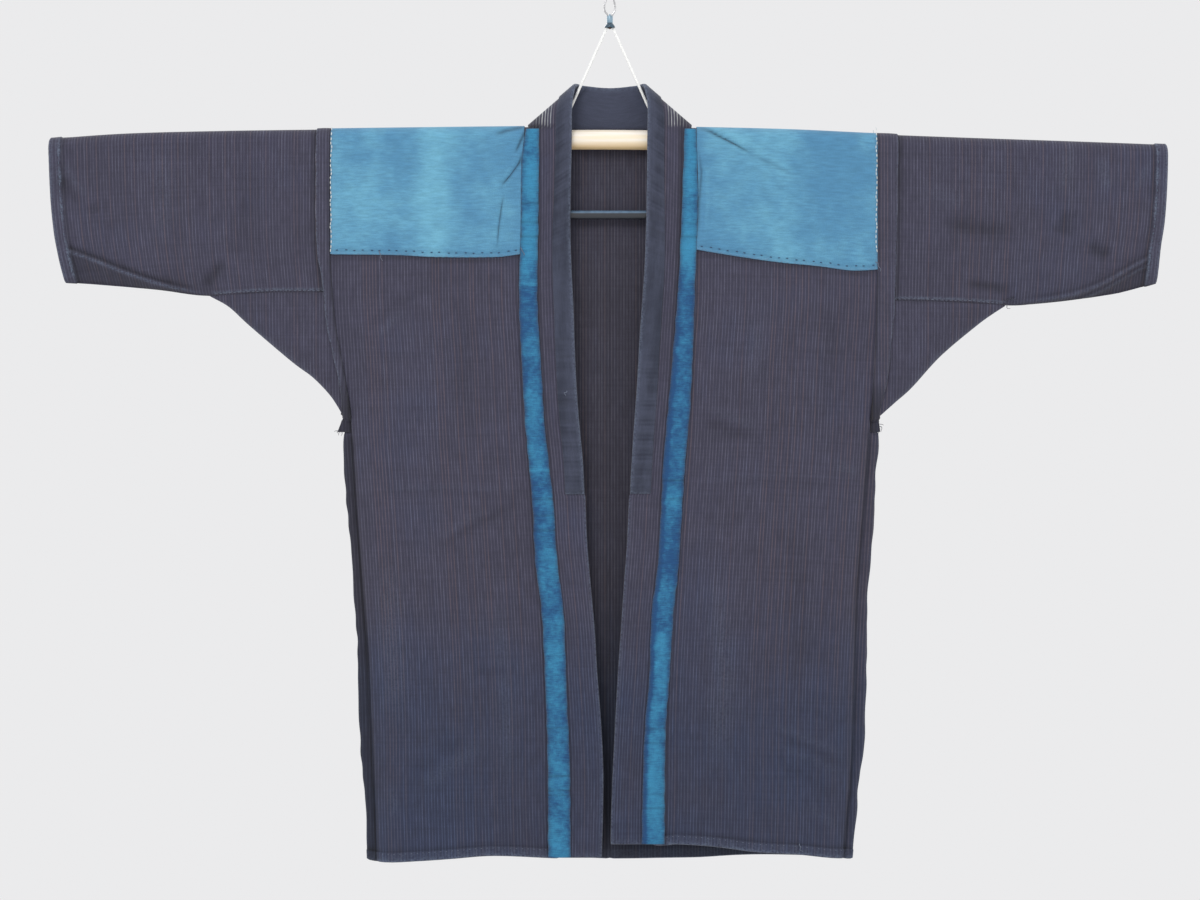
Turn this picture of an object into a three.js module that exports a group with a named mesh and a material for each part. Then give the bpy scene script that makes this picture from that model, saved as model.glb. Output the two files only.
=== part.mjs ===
// A hanten work jacket of striped cotton, shown inside out and flat on a wooden rod.
// Millimetres, +Z up. The front faces -Y and +X is the wearer's left.
// The origin is the inside top of the wire eye that the whole thing hangs from.
import * as THREE from 'three';

// Cloth
const CLOTH = 1.5;            // wall of one layer of cloth
const BAND = 2.0;             // the collar band, two layers
const FACING = 1.0;           // strips, patches, over-collar
const GAP = 0.3;              // between pieces at a seam
const COLLAR_GAP = 0.6;       // between the body and the collar band
const GUSSET_GAP = 0.9;       // between the body and a gusset, whose edges are cut into fewer steps
const HEM_RISE = 1.1;         // how far a turned hem stands out
const HEM_HEIGHT = 9.5;       // turned hem at the foot of the body
const CUFF_HEM = 12;          // turned hem at the cuff

// Hanger
const ROD_RADIUS = 11;
const BAR_RADIUS = 5;
const ROD_REACH = 606;        // from the middle to each end of the rod
const BAR_LENGTH = 300;
const BAR_Z = -246.4;
const CORD_RADIUS = 1.35;
const CORD_AT_ROD = 54.5;     // each cord's distance from the middle where it meets the rod
const CORD_AT_HOOK = 3.4;
const EYE_WIRE = 1.1;         // radius of the wire eye
const NECK_SLACK = 1.4;       // the cloth stands this much off the rod near the neck
const SLACK = { full: 60, none: 200 };      // distances from the middle between which that ends
const CORD_CLEAR = 0.9;       // a cord stops this far above the rod's middle line of facets

// Depth of the flat garment
const WRAP = ROD_RADIUS + 0.6 + CLOTH / 2;    // middle of the cloth where it turns over the rod
const CLOSED = CLOTH / 2 + 0.2;               // half depth where front and back are sewn together
const CLOSE_WIDTH = 34;                       // how far from a fold or side seam the layers open
const FOLD_DEPTH = 3.5;                       // soft vertical folds of the lower body
const FOLD_PITCH = 150;
const FOLD_START = { x: 70, shift: 20 };      // first fold's side, shifted apart in front and behind
const FOLD_HEIGHTS = { none: 420, full: 900 };    // the folds deepen down the body
const FOLD_SIDES = { none: 80, full: 140 };       // and stay clear of the collar
const UNDERARM = -474;
const FIN_TOP = -489;         // the side allowance reaches its full width here
const SIDE_FOOT = -966;       // the hem at the side seams
const ALLOWANCE = 1.2;        // thickness of the pressed armhole allowance
const ALLOWANCE_LIFT = 1.2;   // it stands this much further off the gusset at the underarm
const ALLOWANCE_LIFTS = { from: 350, to: 430 };
const ALLOWANCE_CLEAR = 3.6;  // and this far from the seam below the underarm
const NECK_ANGLE = 56;        // how far behind the crest the back neck is cut, in degrees on the rod
const SHOULDER = 300;         // distance of the shoulder's outer end, to look a height up at
const COLLAR_SIDE = 90;       // distance of the collar seam at the shoulder
const HEM_EDGE = 0.0015;      // share of the drop over which a turned hem steps out
const CUFF_EDGE = 1.2;        // width over which the turned cuff steps out
const SIDE_COLUMNS = [7, 17, CLOSE_WIDTH];        // columns close to the side seam

// Gusset and patches
const GUSSET_ROWS = 12;
const GUSSET_SHARES = [1, 0.8, 0.6, 0.4, 0.2, 0.07];     // columns from the seam to the fold
const GUSSET_SIDE = [-365, -385, -405, -425, -450];      // heights of its rows at the side
const GUSSET_LEAD = 6;        // it starts this far inside the tip of its fold
const PATCH_INSET = 1;        // a patch stops this far from the armhole
const PATCH_CLEAR = 0.8;      // and this far from the blue strip

// Collar
const STRIP_TOP = -152;
const COVER_FOOT = -559;      // where the over-collar ends
const COVER_INSET = 1.6;      // the band stops this far inside the over-collar's fold
const NECK_PUSH_SEAM = 1.6;   // the collar stands this far off the rod at its seam
const NECK_PUSH_EDGE = 4.6;   // and this far at its free edge
const NECK_TILT = 35;         // rise of the free edge over the seam where the fold begins
const TILT_HEIGHTS = { none: -420, full: -170 };
const PUSH_HEIGHTS = { none: -310, full: -200 };
const STRIP_HEM = 16;         // turned foot of a blue strip
const STRIP_STEPS = 20;
// The band over the shoulder and behind the neck, from the fold to the middle: x is a distance
const NECK_STATIONS = [
  { seam: [90.5, -9, -149.5], edge: [39.5, -11, -107] },
  { seam: [90.5, 0, -146.4], edge: [37.2, 0, -100.2] },
  { seam: [84, 8, -148.5], edge: [30, 9, -100.5] },
  { seam: [70, 11, -151.5], edge: [22, 12, -101] },
  { seam: [45, 11.6, -152.6], edge: [12, 12.8, -102] },
];
const NECK_BACK = { seam: [0, 11.8, -152.8], edge: [0, 13, -102.5] };

// Hook
const EYE_HEIGHT = 21;
const EYE_HALF_WIDTH = 5.6;
const EYE_TAPER = 0.42;       // how much wider the eye is at its foot than at its top
const EYE_TURN = { end: 152, step: 16 };    // degrees of its curve, and between its points
const EYE_FOOT = 2.7;         // each end of the wire enters the ferrule this far from the middle
const FERRULE_TOP = -23.6;
const STEM_FOOT = FERRULE_TOP - 8;
const CORD_TOP = -36.9;
const BEAD = { radius: 1.45, z: FERRULE_TOP - 13.35 };

// Colours
const STRIPED = { color: 0x4b495a, roughness: 0.92 };
const PLAIN = { color: 0x474d5e, roughness: 0.9 };
const LIGHT_BLUE = { color: 0x659fc0, roughness: 0.9 };
const DEEP_BLUE = { color: 0x3a75a0, roughness: 0.9 };
const WOOD = { color: 0xe8d9bd, roughness: 0.55 };
const DARK_BAR = { color: 0x39454f, roughness: 0.25 };
const WHITE_CORD = { color: 0xf2f2f0, roughness: 0.8 };
const STEEL = { color: 0xb8b8ba, roughness: 0.2, metalness: 1 };
const GREY_BLUE = { color: 0x8aa3b5, roughness: 0.4 };
const TEAL = { color: 0x2f4a5c, roughness: 0.35 };
const BROWN = { color: 0x5a4030, roughness: 0.6 };

// The line of the shoulders and sleeves: the top of the cloth's middle surface, by x
const CREST = [
  { x: -630, z: -162 }, { x: -543, z: -156 }, { x: -433, z: -153 }, { x: -325, z: -151.5 },
  { x: -207, z: -150 }, { x: -95, z: -148.8 }, { x: 0, z: -148.4 }, { x: 92, z: -149.6 },
  { x: 202, z: -152.3 }, { x: 295, z: -156.6 }, { x: 397, z: -160.5 }, { x: 523, z: -164.8 },
  { x: 630, z: -168.8 },
];

// Each half of the garment has its own tables, with x as a distance from the middle
const RIGHT = {
  side: -1,
  armhole: [
    { z: -140, x: 312 }, { z: -274, x: 313 }, { z: -329, x: 310 }, { z: -372, x: 306 },
    { z: -399, x: 301 }, { z: -431, x: 295 }, { z: -455, x: 290.5 }, { z: -474, x: 288.5 },
  ],
  sideSeam: [
    { z: -474, x: 288.5 }, { z: -506, x: 287 }, { z: -560, x: 284 }, { z: -614, x: 280 },
    { z: -689, x: 274 }, { z: -741, x: 270 }, { z: -806, x: 267 }, { z: -913, x: 262 },
    { z: -970, x: 260 },
  ],
  finEdge: [
    { z: -474, x: 289.5 }, { z: -492, x: 297 }, { z: -528, x: 297 }, { z: -570, x: 294 },
    { z: -624, x: 289 }, { z: -689, x: 285 }, { z: -720, x: 282 }, { z: -785, x: 281 },
    { z: -849, x: 278 }, { z: -892, x: 274 }, { z: -924, x: 272 }, { z: -970, x: 271.5 },
  ],
  allowanceEdge: [
    { z: -140, x: 327 }, { z: -274, x: 327 }, { z: -325, x: 320 }, { z: -372, x: 315 },
    { z: -400, x: 309 }, { z: -431, x: 301.5 }, { z: -463, x: 298 }, { z: -478, x: 300 },
    { z: -489, x: 304 },
  ],
  cuff: [
    { z: -150, x: 626 }, { z: -227, x: 623 }, { z: -268, x: 619 }, { z: -290, x: 615 },
    { z: -325, x: 608 },
  ],
  sleeveFoot: [
    { x: 300, z: -330 }, { x: 380, z: -331 }, { x: 450, z: -335 }, { x: 508, z: -329.5 },
    { x: 571, z: -324 }, { x: 612, z: -321 },
  ],
  gussetFold: [
    { x: 447, z: -337 }, { x: 426, z: -349 }, { x: 403, z: -370 }, { x: 356, z: -410 },
    { x: 332, z: -428 }, { x: 312, z: -449 }, { x: 298, z: -471 },
  ],
  collarSeam: [
    { z: -140, x: 91 }, { z: -263, x: 89.5 }, { z: -342, x: 91 }, { z: -386, x: 89 },
    { z: -431, x: 86.5 }, { z: -482, x: 83.5 }, { z: -535, x: 78 }, { z: -633, x: 71 },
    { z: -689, x: 64 }, { z: -790, x: 59.5 }, { z: -857, x: 57 }, { z: -970, x: 56.5 },
  ],
  frontEdge: [
    { z: -140, x: 42 }, { z: -274, x: 44 }, { z: -336, x: 41 }, { z: -398, x: 39 },
    { z: -439, x: 37 }, { z: -480, x: 34 }, { z: -522, x: 30 }, { z: -588, x: 27 },
    { z: -633, x: 25 }, { z: -689, x: 19 }, { z: -741, x: 16 }, { z: -795, x: 12 },
    { z: -838, x: 9 }, { z: -892, x: 8 }, { z: -970, x: 10 },
  ],
  frontHem: [
    { x: 8, z: -963 }, { x: 16, z: -965 }, { x: 45, z: -964.5 }, { x: 69, z: -963.5 },
    { x: 131, z: -961 }, { x: 174, z: -964 }, { x: 216, z: -967 }, { x: 257, z: -969 },
    { x: 274, z: -966.5 },
  ],
  backHem: [
    { x: 0, z: -968 }, { x: 118, z: -964 }, { x: 272, z: -966 },
  ],
  strip: [
    { z: -150, near: 79, far: 101 }, { z: -263, near: 80, far: 99 }, { z: -342, near: 81, far: 101 },
    { z: -431, near: 76, far: 97 }, { z: -482, near: 73, far: 94 }, { z: -571, near: 63, far: 86 },
    { z: -633, near: 59, far: 83 }, { z: -689, near: 52, far: 76 }, { z: -790, near: 48, far: 71 },
    { z: -857, near: 45, far: 69 }, { z: -970, near: 44, far: 68.5 },
  ],
  coverWidth: 21,
  patchFoot: [
    { x: 101, z: -291 }, { x: 126, z: -294 }, { x: 196, z: -294 }, { x: 235, z: -292 }, { x: 312, z: -291 },
  ],
  frontFoot: -963.5,
};

const LEFT = {
  side: 1,
  armhole: [
    { z: -140, x: 299 }, { z: -286, x: 299 }, { z: -342, x: 298 }, { z: -398, x: 296 },
    { z: -454, x: 292.5 }, { z: -474, x: 290.5 },
  ],
  sideSeam: [
    { z: -474, x: 290.5 }, { z: -495, x: 290 }, { z: -549, x: 286 }, { z: -598, x: 282 },
    { z: -635, x: 279 }, { z: -678, x: 275.5 }, { z: -763, x: 274 }, { z: -828, x: 272 },
    { z: -881, x: 269 }, { z: -935, x: 264 }, { z: -970, x: 261 },
  ],
  finEdge: [
    { z: -474, x: 291.5 }, { z: -492, x: 300 }, { z: -539, x: 297 }, { z: -591, x: 295 },
    { z: -635, x: 291 }, { z: -678, x: 288 }, { z: -731, x: 287.5 }, { z: -785, x: 286 },
    { z: -844, x: 284 }, { z: -881, x: 278 }, { z: -924, x: 275 }, { z: -970, x: 270 },
  ],
  allowanceEdge: [
    { z: -140, x: 322 }, { z: -286, x: 319 }, { z: -352, x: 317 }, { z: -383, x: 314 },
    { z: -422, x: 310 }, { z: -450, x: 304.5 }, { z: -466, x: 300 }, { z: -478, x: 300.5 },
    { z: -489, x: 302 },
  ],
  cuff: [
    { z: -150, x: 621.5 }, { z: -203, x: 621 }, { z: -253, x: 618 }, { z: -288, x: 613 },
    { z: -325, x: 610.5 },
  ],
  sleeveFoot: [
    { x: 290, z: -342 }, { x: 380, z: -344 }, { x: 450, z: -346 }, { x: 475, z: -345 },
    { x: 511, z: -342 }, { x: 547, z: -337 }, { x: 571, z: -333 }, { x: 601, z: -325 },
    { x: 615, z: -321 },
  ],
  gussetFold: [
    { x: 442, z: -348 }, { x: 428, z: -357 }, { x: 409, z: -371 }, { x: 370, z: -404 },
    { x: 338, z: -439 }, { x: 319, z: -456 }, { x: 301, z: -472 },
  ],
  collarSeam: [
    { z: -140, x: 90 }, { z: -230, x: 89.5 }, { z: -319, x: 86 }, { z: -364, x: 83.5 },
    { z: -409, x: 81 }, { z: -465, x: 77 }, { z: -521, x: 72 }, { z: -582, x: 68.5 },
    { z: -644, x: 64.5 }, { z: -689, x: 59 }, { z: -767, x: 55 }, { z: -823, x: 50.5 },
    { z: -902, x: 48 }, { z: -970, x: 48 },
  ],
  frontEdge: [
    { z: -140, x: 42 }, { z: -274, x: 40 }, { z: -315, x: 38 }, { z: -377, x: 33.5 },
    { z: -439, x: 30 }, { z: -480, x: 27 }, { z: -543, x: 23 }, { z: -610, x: 20 },
    { z: -666, x: 16 }, { z: -763, x: 9.5 }, { z: -838, x: 5.5 }, { z: -892, x: 3 },
    { z: -970, x: 1 },
  ],
  frontHem: [
    { x: 0, z: -948 }, { x: 35, z: -949 }, { x: 61, z: -949.5 }, { x: 75, z: -948.5 },
    { x: 118, z: -951 }, { x: 160, z: -956 }, { x: 214, z: -960 }, { x: 257, z: -965 },
    { x: 273, z: -966 },
  ],
  backHem: [
    { x: 0, z: -968 }, { x: 97, z: -966.5 }, { x: 173, z: -963.5 }, { x: 272, z: -966 },
  ],
  strip: [
    { z: -150, near: 83.5, far: 96 }, { z: -230, near: 81, far: 98 }, { z: -319, near: 77, far: 95 },
    { z: -409, near: 70, far: 92 }, { z: -465, near: 65, far: 89 }, { z: -521, near: 60, far: 84 },
    { z: -582, near: 57, far: 80 }, { z: -644, near: 53, far: 76 }, { z: -689, near: 47, far: 71 },
    { z: -767, near: 44, far: 66 }, { z: -823, near: 39, far: 62 }, { z: -970, near: 35, far: 60.5 },
  ],
  coverWidth: 23.5,
  patchFoot: [
    { x: 95, z: -285.5 }, { x: 140, z: -293 }, { x: 185, z: -299.5 }, { x: 235, z: -304.5 },
    { x: 270, z: -309 }, { x: 300, z: -308 },
  ],
  frontFoot: -948.5,
};

// A smooth curve through the rows of a table, for one named column against another
function curve(rows, from, to) {
  const points = [...rows].sort((a, b) => a[from] - b[from]);
  const slope = points.map((row, i) => {
    const before = points[Math.max(i - 1, 0)];
    const after = points[Math.min(i + 1, points.length - 1)];
    return (after[to] - before[to]) / (after[from] - before[from]);
  });
  return (value) => {
    const last = points.length - 1;
    const place = Math.min(Math.max(value, points[0][from]), points[last][from]);
    let i = 0;
    while (i < last - 1 && points[i + 1][from] < place) i += 1;
    const width = points[i + 1][from] - points[i][from];
    const t = (place - points[i][from]) / width;
    const rise = t * t * (3 - 2 * t);
    return points[i][to] * (1 - rise) + points[i + 1][to] * rise
      + width * (slope[i] * t * (1 - t) ** 2 - slope[i + 1] * t * t * (1 - t));
  };
}

const crestAt = curve(CREST, 'x', 'z');

// The tables of one half, as functions of z or of x
function halfCurves(half) {
  const outline = [...half.armhole, ...half.sideSeam.slice(1)];
  const fin = [...half.armhole.map((row) => ({ z: row.z, x: row.x })), ...half.finEdge.slice(1)];
  return {
    ...half,
    crest: (x) => crestAt(half.side * x),
    seamX: curve(outline, 'z', 'x'),
    outerX: curve(fin, 'z', 'x'),
    allowanceX: curve(half.allowanceEdge, 'z', 'x'),
    cuffX: curve(half.cuff, 'z', 'x'),
    sleeveFootZ: curve(half.sleeveFoot, 'x', 'z'),
    collarSeamX: curve(half.collarSeam, 'z', 'x'),
    frontEdgeX: curve(half.frontEdge, 'z', 'x'),
    frontHemZ: curve(half.frontHem, 'x', 'z'),
    backHemZ: curve(half.backHem, 'x', 'z'),
    stripNearX: curve(half.strip, 'z', 'near'),
    stripFarX: curve(half.strip, 'z', 'far'),
    patchFootZ: curve(half.patchFoot, 'x', 'z'),
    closedLine: [
      ...half.sleeveFoot.filter((row) => row.x > half.gussetFold[0].x).reverse(),
      ...half.gussetFold,
      ...half.sideSeam.slice(1),
    ],
  };
}

const halves = { right: halfCurves(RIGHT), left: halfCurves(LEFT) };

// Distance from (x, z) to the line where front and back meet; none beyond the side seam
function openDistance(half, x, z) {
  if (z < UNDERARM && x > half.seamX(z)) return 0;
  let nearest = Infinity;
  for (let i = 1; i < half.closedLine.length; i += 1) {
    const a = half.closedLine[i - 1];
    const b = half.closedLine[i];
    const along = ((x - a.x) * (b.x - a.x) + (z - a.z) * (b.z - a.z))
      / ((b.x - a.x) ** 2 + (b.z - a.z) ** 2);
    const t = THREE.MathUtils.clamp(along, 0, 1);
    nearest = Math.min(nearest, Math.hypot(x - a.x - t * (b.x - a.x), z - a.z - t * (b.z - a.z)));
  }
  return nearest;
}

// Half the garment's depth at (x, z), from the middle plane to the middle of the cloth.
// face is -1 in front and 1 behind.
function depth(half, x, z, face) {
  const opened = 1 - (1 - Math.min(openDistance(half, x, z) / CLOSE_WIDTH, 1)) ** 2;
  const below = THREE.MathUtils.smoothstep(-z, FOLD_HEIGHTS.none, FOLD_HEIGHTS.full);
  const across = THREE.MathUtils.smoothstep(x, FOLD_SIDES.none, FOLD_SIDES.full);
  const turn = (x - FOLD_START.x + face * FOLD_START.shift) / FOLD_PITCH;
  const fold = 0.5 - 0.5 * Math.cos(2 * Math.PI * turn);
  return CLOSED + (WRAP + FOLD_DEPTH * fold * below * across - CLOSED) * opened;
}

// The point of a hanging piece at x on a row: an angle on the rod, or a part of the drop to foot
function hangPoint(half, x, row, foot) {
  const crest = half.crest(x);
  if (row.angle !== undefined) {
    const angle = THREE.MathUtils.degToRad(row.angle);
    return new THREE.Vector3(half.side * x, WRAP * Math.sin(angle), crest - WRAP * (1 - Math.cos(angle)));
  }
  const z = THREE.MathUtils.lerp(crest - WRAP, foot, row.drop);
  return new THREE.Vector3(half.side * x, row.face * depth(half, x, z, row.face), z);
}

// The rows of a hanging piece, from its front foot over the rod to its back foot
function hangRows(frontDrops, angles, backDrops) {
  return [
    ...[...frontDrops].reverse().map((drop) => ({ face: -1, drop })),
    ...angles.map((angle) => ({ angle })),
    ...backDrops.map((drop) => ({ face: 1, drop })),
  ];
}

const same = (value) => () => value;
const steps = (count) => Array.from({ length: count }, (_, i) => (i + 1) / count);
const ARC = [-90, -70, -50, -30, -10, 10, 30, 50, 70, 90];
const NECK_ARC = [-90, -68, -45, -22, 0, 14, 28, 42, NECK_ANGLE, 72, 90];
const CREST_GAP = 0.7;        // degrees on the rod from the crest to the end of each front and back

// Heights of the body's rows at its collar seam, from the neck down
const INNER_HEIGHTS = [
  -200, -240, -280, -320, -360, -400, -440, -520, COVER_FOOT, -610, -660, -710, -760, -810, -860, -905,
];

// The body's rows as parts of its drop, with a row at the underarm and one just below it
function bodyDrops(half) {
  const innerTop = half.crest(COLLAR_SIDE) - WRAP;
  const sideTop = half.crest(SHOULDER) - WRAP;
  const inner = INNER_HEIGHTS.map((z) => (z - innerTop) / (half.frontFoot - innerTop));
  const side = [UNDERARM, FIN_TOP].map((z) => (z - sideTop) / (SIDE_FOOT - sideTop));
  return [...inner, ...side].sort((a, b) => a - b);
}

// A height on a row, near enough to look an edge up in its table
function rowHeight(half, x, row, foot) {
  const top = half.crest(x) - WRAP;
  return row.angle === undefined ? THREE.MathUtils.lerp(top, foot, row.drop) : top;
}

// A geometry whose triangles all face out, turned round if they were listed the other way
function facingOut(positions, index) {
  const corner = (i) => new THREE.Vector3().fromArray(positions, 3 * index[i]);
  let volume = 0;
  for (let i = 0; i < index.length; i += 3) {
    volume += corner(i).dot(corner(i + 1).cross(corner(i + 2)));
  }
  const turned = [];
  for (let i = 0; i < index.length; i += 3) {
    turned.push(index[i], index[volume < 0 ? i + 2 : i + 1], index[volume < 0 ? i + 1 : i + 2]);
  }
  const geometry = new THREE.BufferGeometry();
  geometry.setAttribute('position', new THREE.Float32BufferAttribute(positions, 3));
  geometry.setIndex(turned);
  geometry.computeVertexNormals();
  return geometry;
}

// A closed solid from a grid of points, moved along the grid's normals by two offsets.
// outward is 1 where (next column) x (next row) points out of the garment, else -1.
function sheetSolid(grid, outward, outer, inner) {
  const rows = grid.length;
  const cols = grid[0].length;
  const normalAt = (r, c) => {
    const along = grid[Math.min(r + 1, rows - 1)][c].clone().sub(grid[Math.max(r - 1, 0)][c]);
    const across = grid[r][Math.min(c + 1, cols - 1)].clone().sub(grid[r][Math.max(c - 1, 0)]);
    return across.cross(along).normalize().multiplyScalar(outward);
  };
  const positions = [];
  [outer, inner].forEach((offset) => {
    grid.forEach((line, r) => line.forEach((point, c) => {
      const moved = point.clone().addScaledVector(normalAt(r, c), offset(r, c));
      positions.push(moved.x, moved.y, moved.z);
    }));
  });
  const index = [];
  const at = (layer, r, c) => (layer * rows + r) * cols + c;
  const quad = (a, b, c, d) => index.push(a, b, c, a, c, d);
  for (let r = 0; r < rows - 1; r += 1) {
    for (let c = 0; c < cols - 1; c += 1) {
      quad(at(0, r, c), at(0, r, c + 1), at(0, r + 1, c + 1), at(0, r + 1, c));
      quad(at(1, r, c), at(1, r + 1, c), at(1, r + 1, c + 1), at(1, r, c + 1));
    }
    quad(at(0, r + 1, 0), at(1, r + 1, 0), at(1, r, 0), at(0, r, 0));
    quad(at(0, r, cols - 1), at(1, r, cols - 1), at(1, r + 1, cols - 1), at(0, r + 1, cols - 1));
  }
  for (let c = 0; c < cols - 1; c += 1) {
    quad(at(0, 0, c), at(1, 0, c), at(1, 0, c + 1), at(0, 0, c + 1));
    quad(at(0, rows - 1, c + 1), at(1, rows - 1, c + 1), at(1, rows - 1, c), at(0, rows - 1, c));
  }
  return facingOut(positions, index);
}

// One layer of cloth, its outside raised by rise(row, column)
function clothSolid(half, grid, rise) {
  return sheetSolid(grid, -half.side, (r, c) => CLOTH / 2 + rise(r, c), () => -CLOTH / 2);
}

// A thin piece that lies on the outside of the cloth
function overlaySolid(half, grid, thickness, lift = () => 0) {
  const under = (r) => CLOTH / 2 + GAP + lift(r);
  return sheetSolid(grid, -half.side, (r) => under(r) + thickness, under);
}

// The front (face -1) or the back (face 1) of one half of the body, from its hem to the crest.
// The inner edge follows the collar seam in front, rounds the neck and drops down the centre back.
// The outer edge is the armhole and, below the underarm, the allowance outside the side seam.
function bodyPanel(half, face) {
  const top = half.crest(SHOULDER) - WRAP;
  const hemTop = 1 - HEM_HEIGHT / (top - SIDE_FOOT);
  const drops = [...bodyDrops(half), hemTop - HEM_EDGE, hemTop, 1];
  const arc = [...NECK_ARC.filter((angle) => angle * face > 0), CREST_GAP * face].sort((a, b) => a - b);
  const rows = face < 0 ? hangRows(drops, arc, []) : hangRows([], arc, drops);
  const innerEdge = (row) => {
    if (row.face === 1) return GAP / 2;
    if (row.drop !== undefined) {
      return half.collarSeamX(rowHeight(half, COLLAR_SIDE, row, half.frontFoot)) + COLLAR_GAP;
    }
    const part = THREE.MathUtils.clamp(row.angle / NECK_ANGLE, 0, 1);
    return GAP / 2 + (half.collarSeamX(STRIP_TOP) + COLLAR_GAP) * Math.sqrt(1 - part * part);
  };
  const grid = rows.map((row) => {
    const z = rowHeight(half, SHOULDER, row, SIDE_FOOT);
    const seam = half.seamX(z) - GAP / 2;
    const fin = z < UNDERARM - 1 ? half.outerX(z) : seam;
    const columns = [fin, Math.min(seam, fin - 0.5), ...SIDE_COLUMNS.map((width) => seam - width)];
    const inner = innerEdge(row);
    columns.push(...steps(6).map((t) => THREE.MathUtils.lerp(seam - CLOSE_WIDTH, inner, t)));
    return columns.map((x) => {
      const hem = row.face === 1 ? half.backHemZ(x) : half.frontHemZ(x);
      return hangPoint(half, x, row, hem);
    });
  });
  return clothSolid(half, grid, (r) => (rows[r].drop >= hemTop ? HEM_RISE : 0));
}

// A sleeve: one length folded over the rod, from the armhole to the turned cuff
function sleeve(half) {
  const drops = steps(8);
  const rows = hangRows(drops, ARC, drops);
  const shares = [0, 0.12, 0.25, 0.38, 0.5, 0.62, 0.75, 0.88];
  const grid = rows.map((row) => {
    const armhole = half.seamX(rowHeight(half, SHOULDER, row, half.sleeveFootZ(SHOULDER))) + GAP / 2;
    const cuffEnd = half.cuff[0].x;
    const cuff = half.cuffX(rowHeight(half, cuffEnd, row, half.sleeveFootZ(cuffEnd)));
    const hem = cuff - CUFF_HEM;
    const columns = shares.map((t) => THREE.MathUtils.lerp(armhole, hem - CUFF_EDGE, t));
    columns.push(hem - CUFF_EDGE, hem, cuff);
    return columns.map((x) => hangPoint(half, x, row, half.sleeveFootZ(x))).reverse();
  });
  return clothSolid(half, grid, (r, c) => (c < 2 ? HEM_RISE : 0));
}

// A point a share of the way along a line of [x, z] corners, by its length
function alongLine(corners, share) {
  const lengths = corners.slice(1).map((corner, i) => (
    Math.hypot(corner[0] - corners[i][0], corner[1] - corners[i][1])));
  let left = share * lengths.reduce((sum, length) => sum + length, 0);
  let i = 0;
  while (i < lengths.length - 1 && left > lengths[i]) {
    left -= lengths[i];
    i += 1;
  }
  const t = Math.min(left / lengths[i], 1);
  return [0, 1].map((k) => THREE.MathUtils.lerp(corners[i][k], corners[i + 1][k], t));
}

// A gusset: a square folded on its diagonal, sewn to the sleeve's foot and the body's side
function gusset(half) {
  const fold = half.gussetFold.map((row) => [row.x, row.z]);
  const start = fold[0][0] - GUSSET_LEAD;
  const corner = half.sleeveFootZ(half.seamX(half.sleeveFoot[0].z));
  const topSeam = [start, (start + half.seamX(corner)) / 2].map((x) => [x, half.sleeveFootZ(x) - GAP]);
  const sideSeam = [corner - GAP, ...GUSSET_SIDE, UNDERARM + 2]
    .map((z) => [half.seamX(z) + GUSSET_GAP, z]);
  const seam = [...topSeam, ...sideSeam];
  const grid = [0, ...steps(GUSSET_ROWS)].map((part) => {
    const edge = alongLine(seam, part);
    const tip = alongLine(fold, part);
    const layer = (face) => GUSSET_SHARES.map((share) => {
      const x = THREE.MathUtils.lerp(tip[0], edge[0], share);
      const z = THREE.MathUtils.lerp(tip[1], edge[1], share);
      return new THREE.Vector3(half.side * x, face * depth(half, x, z, face), z);
    });
    return [...layer(-1), new THREE.Vector3(half.side * tip[0], 0, tip[1]), ...layer(1).reverse()];
  });
  return sheetSolid(grid, half.side, same(CLOTH / 2), same(-CLOTH / 2));
}

// The armhole's allowance, pressed toward the sleeve and running down past the underarm
function armholeAllowance(half) {
  const drops = steps(12);
  const rows = hangRows(drops, ARC, drops);
  const heights = rows.map((row) => rowHeight(half, SHOULDER, row, FIN_TOP));
  const grid = rows.map((row, r) => {
    const clear = heights[r] < UNDERARM ? ALLOWANCE_CLEAR : 0;
    const seam = Math.max(half.seamX(heights[r]), half.seamX(UNDERARM)) + clear;
    const edge = half.allowanceX(heights[r]);
    return [edge, (edge + seam) / 2, seam].map((x) => hangPoint(half, x, row, FIN_TOP));
  });
  const { from, to } = ALLOWANCE_LIFTS;
  const lift = (r) => ALLOWANCE_LIFT * THREE.MathUtils.smoothstep(-heights[r], from, to);
  return overlaySolid(half, grid, ALLOWANCE, lift);
}

// A shoulder patch, over the shoulder to the same length behind
function patch(half) {
  const drops = steps(5);
  const rows = hangRows(drops, NECK_ARC, drops);
  const outer = half.seamX(STRIP_TOP) - PATCH_INSET;
  const widest = [STRIP_TOP, -230, -270].map((z) => half.stripFarX(z));
  const inner = Math.max(...widest) + PATCH_CLEAR;
  const grid = rows.map((row) => [0, ...steps(6)].map((t) => {
    const x = THREE.MathUtils.lerp(outer, inner, t);
    return hangPoint(half, x, row, half.patchFootZ(x));
  }));
  return overlaySolid(half, grid, FACING);
}

// How far the collar is pushed out in front of the rod and the cords, by height
const neckPush = (z) => THREE.MathUtils.smoothstep(z, PUSH_HEIGHTS.none, PUSH_HEIGHTS.full);

// The collar's depth in front: share is 0 at its seam and 1 at its free edge
function collarDepth(z, share) {
  const push = THREE.MathUtils.lerp(NECK_PUSH_SEAM, NECK_PUSH_EDGE, share) * neckPush(z);
  return WRAP + (BAND - CLOTH) / 2 + push;
}

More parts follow.
